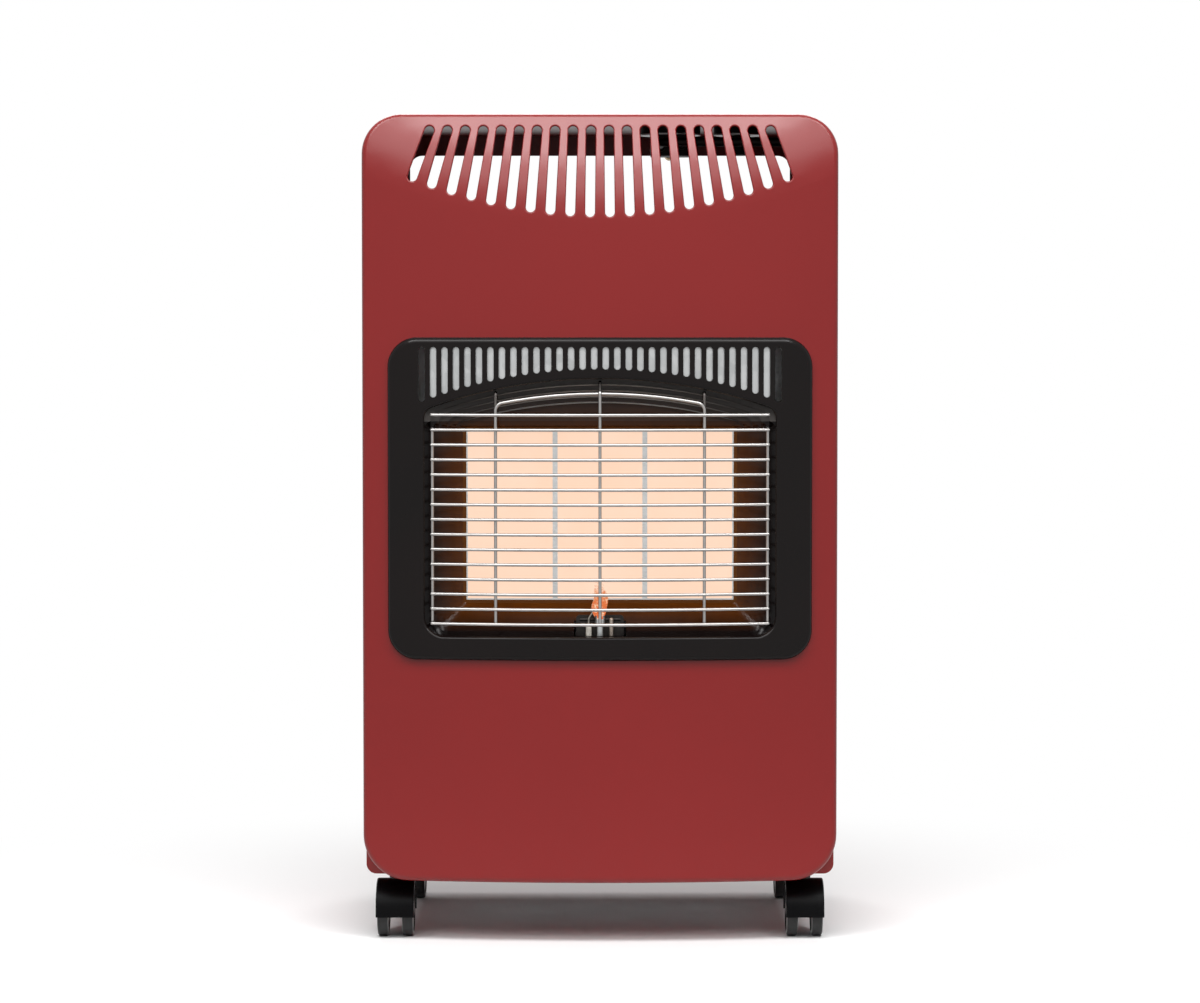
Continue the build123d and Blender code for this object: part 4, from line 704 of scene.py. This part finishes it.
knob_low, knob_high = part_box("control_knob")
deck_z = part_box("cabinet_shell")[1].z
dial_centre = np.array([(knob_low.x + knob_high.x) / 2, (knob_low.y + knob_high.y) / 2, deck_z])
grip_top = np.array([dial_centre[0], dial_centre[1], knob_high.z - INK / 2])
t = np.linspace(0, 1, 60)
outward = spoke(WEDGE_START + WEDGE_SWEEP * t)[0]
wedge_line = dial_centre + WEDGE_RADIUS * outward
printed_mark("flame_wedge", wedge_line, outward, WEDGE_HALF + WEDGE_GROWTH * t, "cabinet")
for name, angle in TICK_ANGLES.items():
    straight_mark(name, dial_centre, angle, TICK_INNER, TICK_OUTER, TICK_HALF, "cabinet")
straight_mark(
    "knob_pointer", grip_top, POINTER_ANGLE, POINTER_INNER, POINTER_OUTER, POINTER_HALF, "control_knob"
)
print("dial centre in mm", (dial_centre / MM).round(1).tolist())

# %% [markdown]
# ## Floor, light and background
# The photograph has a white background and soft light from above and in front. The floor is pale and
# takes the heater's shadow. Further out it fades into the white of the background, so no horizon shows.
# That white reaches the camera, reflections and glass only, and lights nothing.

# %% Rays that see the white background
def sees_background(tree):
    """1 for camera, glossy and transmission rays, 0 for the rays that light other surfaces."""
    ray = add(tree, "LightPath", {}).outputs
    direct = add(tree, "Math", {0: ray["Is Camera Ray"], 1: ray["Is Glossy Ray"]}, operation="MAXIMUM")
    seen = add(
        tree, "Math", {0: direct.outputs["Value"], 1: ray["Is Transmission Ray"]}, operation="MAXIMUM"
    )
    return seen.outputs["Value"]


print("background is white to camera, glossy and transmission rays")

# %% Floor
FLOOR_HALF = 12.0
FADE_START = 0.24
FADE_END = 0.8
floor_mesh = bpy.data.meshes.new("floor")
corners = np.array([[-1, -1, 0], [1, -1, 0], [1, 1, 0], [-1, 1, 0]]) * FLOOR_HALF
floor_mesh.from_pydata(corners.tolist(), [], [[0, 1, 2, 3]])
floor = bpy.data.objects.new("floor", floor_mesh)
scene.collection.objects.link(floor)
floor_paint, floor_tree, floor_shader, floor_place = new_finish(
    "matt_white_floor", {"Base Color": linear("#F4F4F4"), "Roughness": 0.9, "Specular IOR Level": 0.0}
)
away = add(floor_tree, "VectorMath", {0: floor_place}, operation="LENGTH").outputs["Value"]
fade = add(
    floor_tree, "MapRange", {"Value": away, "From Min": FADE_START, "From Max": FADE_END},
    interpolation_type="SMOOTHSTEP",
)
glow = add(floor_tree, "Emission", {"Strength": sees_background(floor_tree)})
faded = add(
    floor_tree, "MixShader",
    {0: fade.outputs["Result"], 1: floor_shader.outputs["BSDF"], 2: glow.outputs["Emission"]},
)
plug(floor_tree, floor_tree.nodes["Material Output"], {"Surface": faded.outputs["Shader"]})
floor_mesh.materials.append(floor_paint)
print("floor", 2 * FLOOR_HALF, "m wide, white from", FADE_END, "m out")

# %% [markdown]
# The top band leans back by 25 degrees, so it mirrors what stands about 53 degrees up in front. The main
# softbox hangs there: it lights the face and floor, and its reflection turns the band and the bars pink.
# A weaker one below it carries that shine down the bars. Two small lamps at the sides draw the bright
# streaks in the window's lower corners, and one lamp behind fills the back for the other views.

# %% Softboxes
HEATER_MIDDLE = (0, -0.1, 0.5)
TOP_BAND = (0, -0.1, 0.6)


def softbox(name, place, target, width, height, power):
    """Rectangular area lamp that looks from place to target: metres and watts."""
    lamp = bpy.data.lights.new(name, "AREA")
    lamp.shape = "RECTANGLE"
    lamp.size = width
    lamp.size_y = height
    lamp.energy = power
    holder = bpy.data.objects.new(name, lamp)
    holder.location = place
    way = Vector(target) - holder.location
    holder.rotation_euler = way.to_track_quat("-Z", "Y").to_euler()
    scene.collection.objects.link(holder)


softbox("softbox_band", (0, -1.55, 2.75), TOP_BAND, width=3.2, height=0.8, power=94)
softbox("softbox_bars", (0, -2.6, 2.1), TOP_BAND, width=3.2, height=0.9, power=30)
softbox("spot_left", (-1.85, -2.6, 2.75), HEATER_MIDDLE, width=0.2, height=0.2, power=11)
softbox("spot_right", (1.85, -2.6, 2.75), HEATER_MIDDLE, width=0.2, height=0.2, power=11)
softbox("softbox_back", (0, 2.6, 2.6), HEATER_MIDDLE, width=2.4, height=1.4, power=70)
print("softboxes", len(bpy.data.lights))

# %% World
ROOM_LIGHT = 0.12
world = bpy.data.worlds.new("white_studio")
scene.world = world
world.use_nodes = True
sky = world.node_tree
sky.nodes.clear()
level = add(sky, "MapRange", {"Value": sees_background(sky), "To Min": ROOM_LIGHT, "To Max": 1.0})
white = add(sky, "Background", {"Color": linear("#FFFFFF"), "Strength": level.outputs["Result"]})
add(sky, "OutputWorld", {"Surface": white.outputs["Background"]})
scene.view_settings.view_transform = "Standard"
print("room light", ROOM_LIGHT)
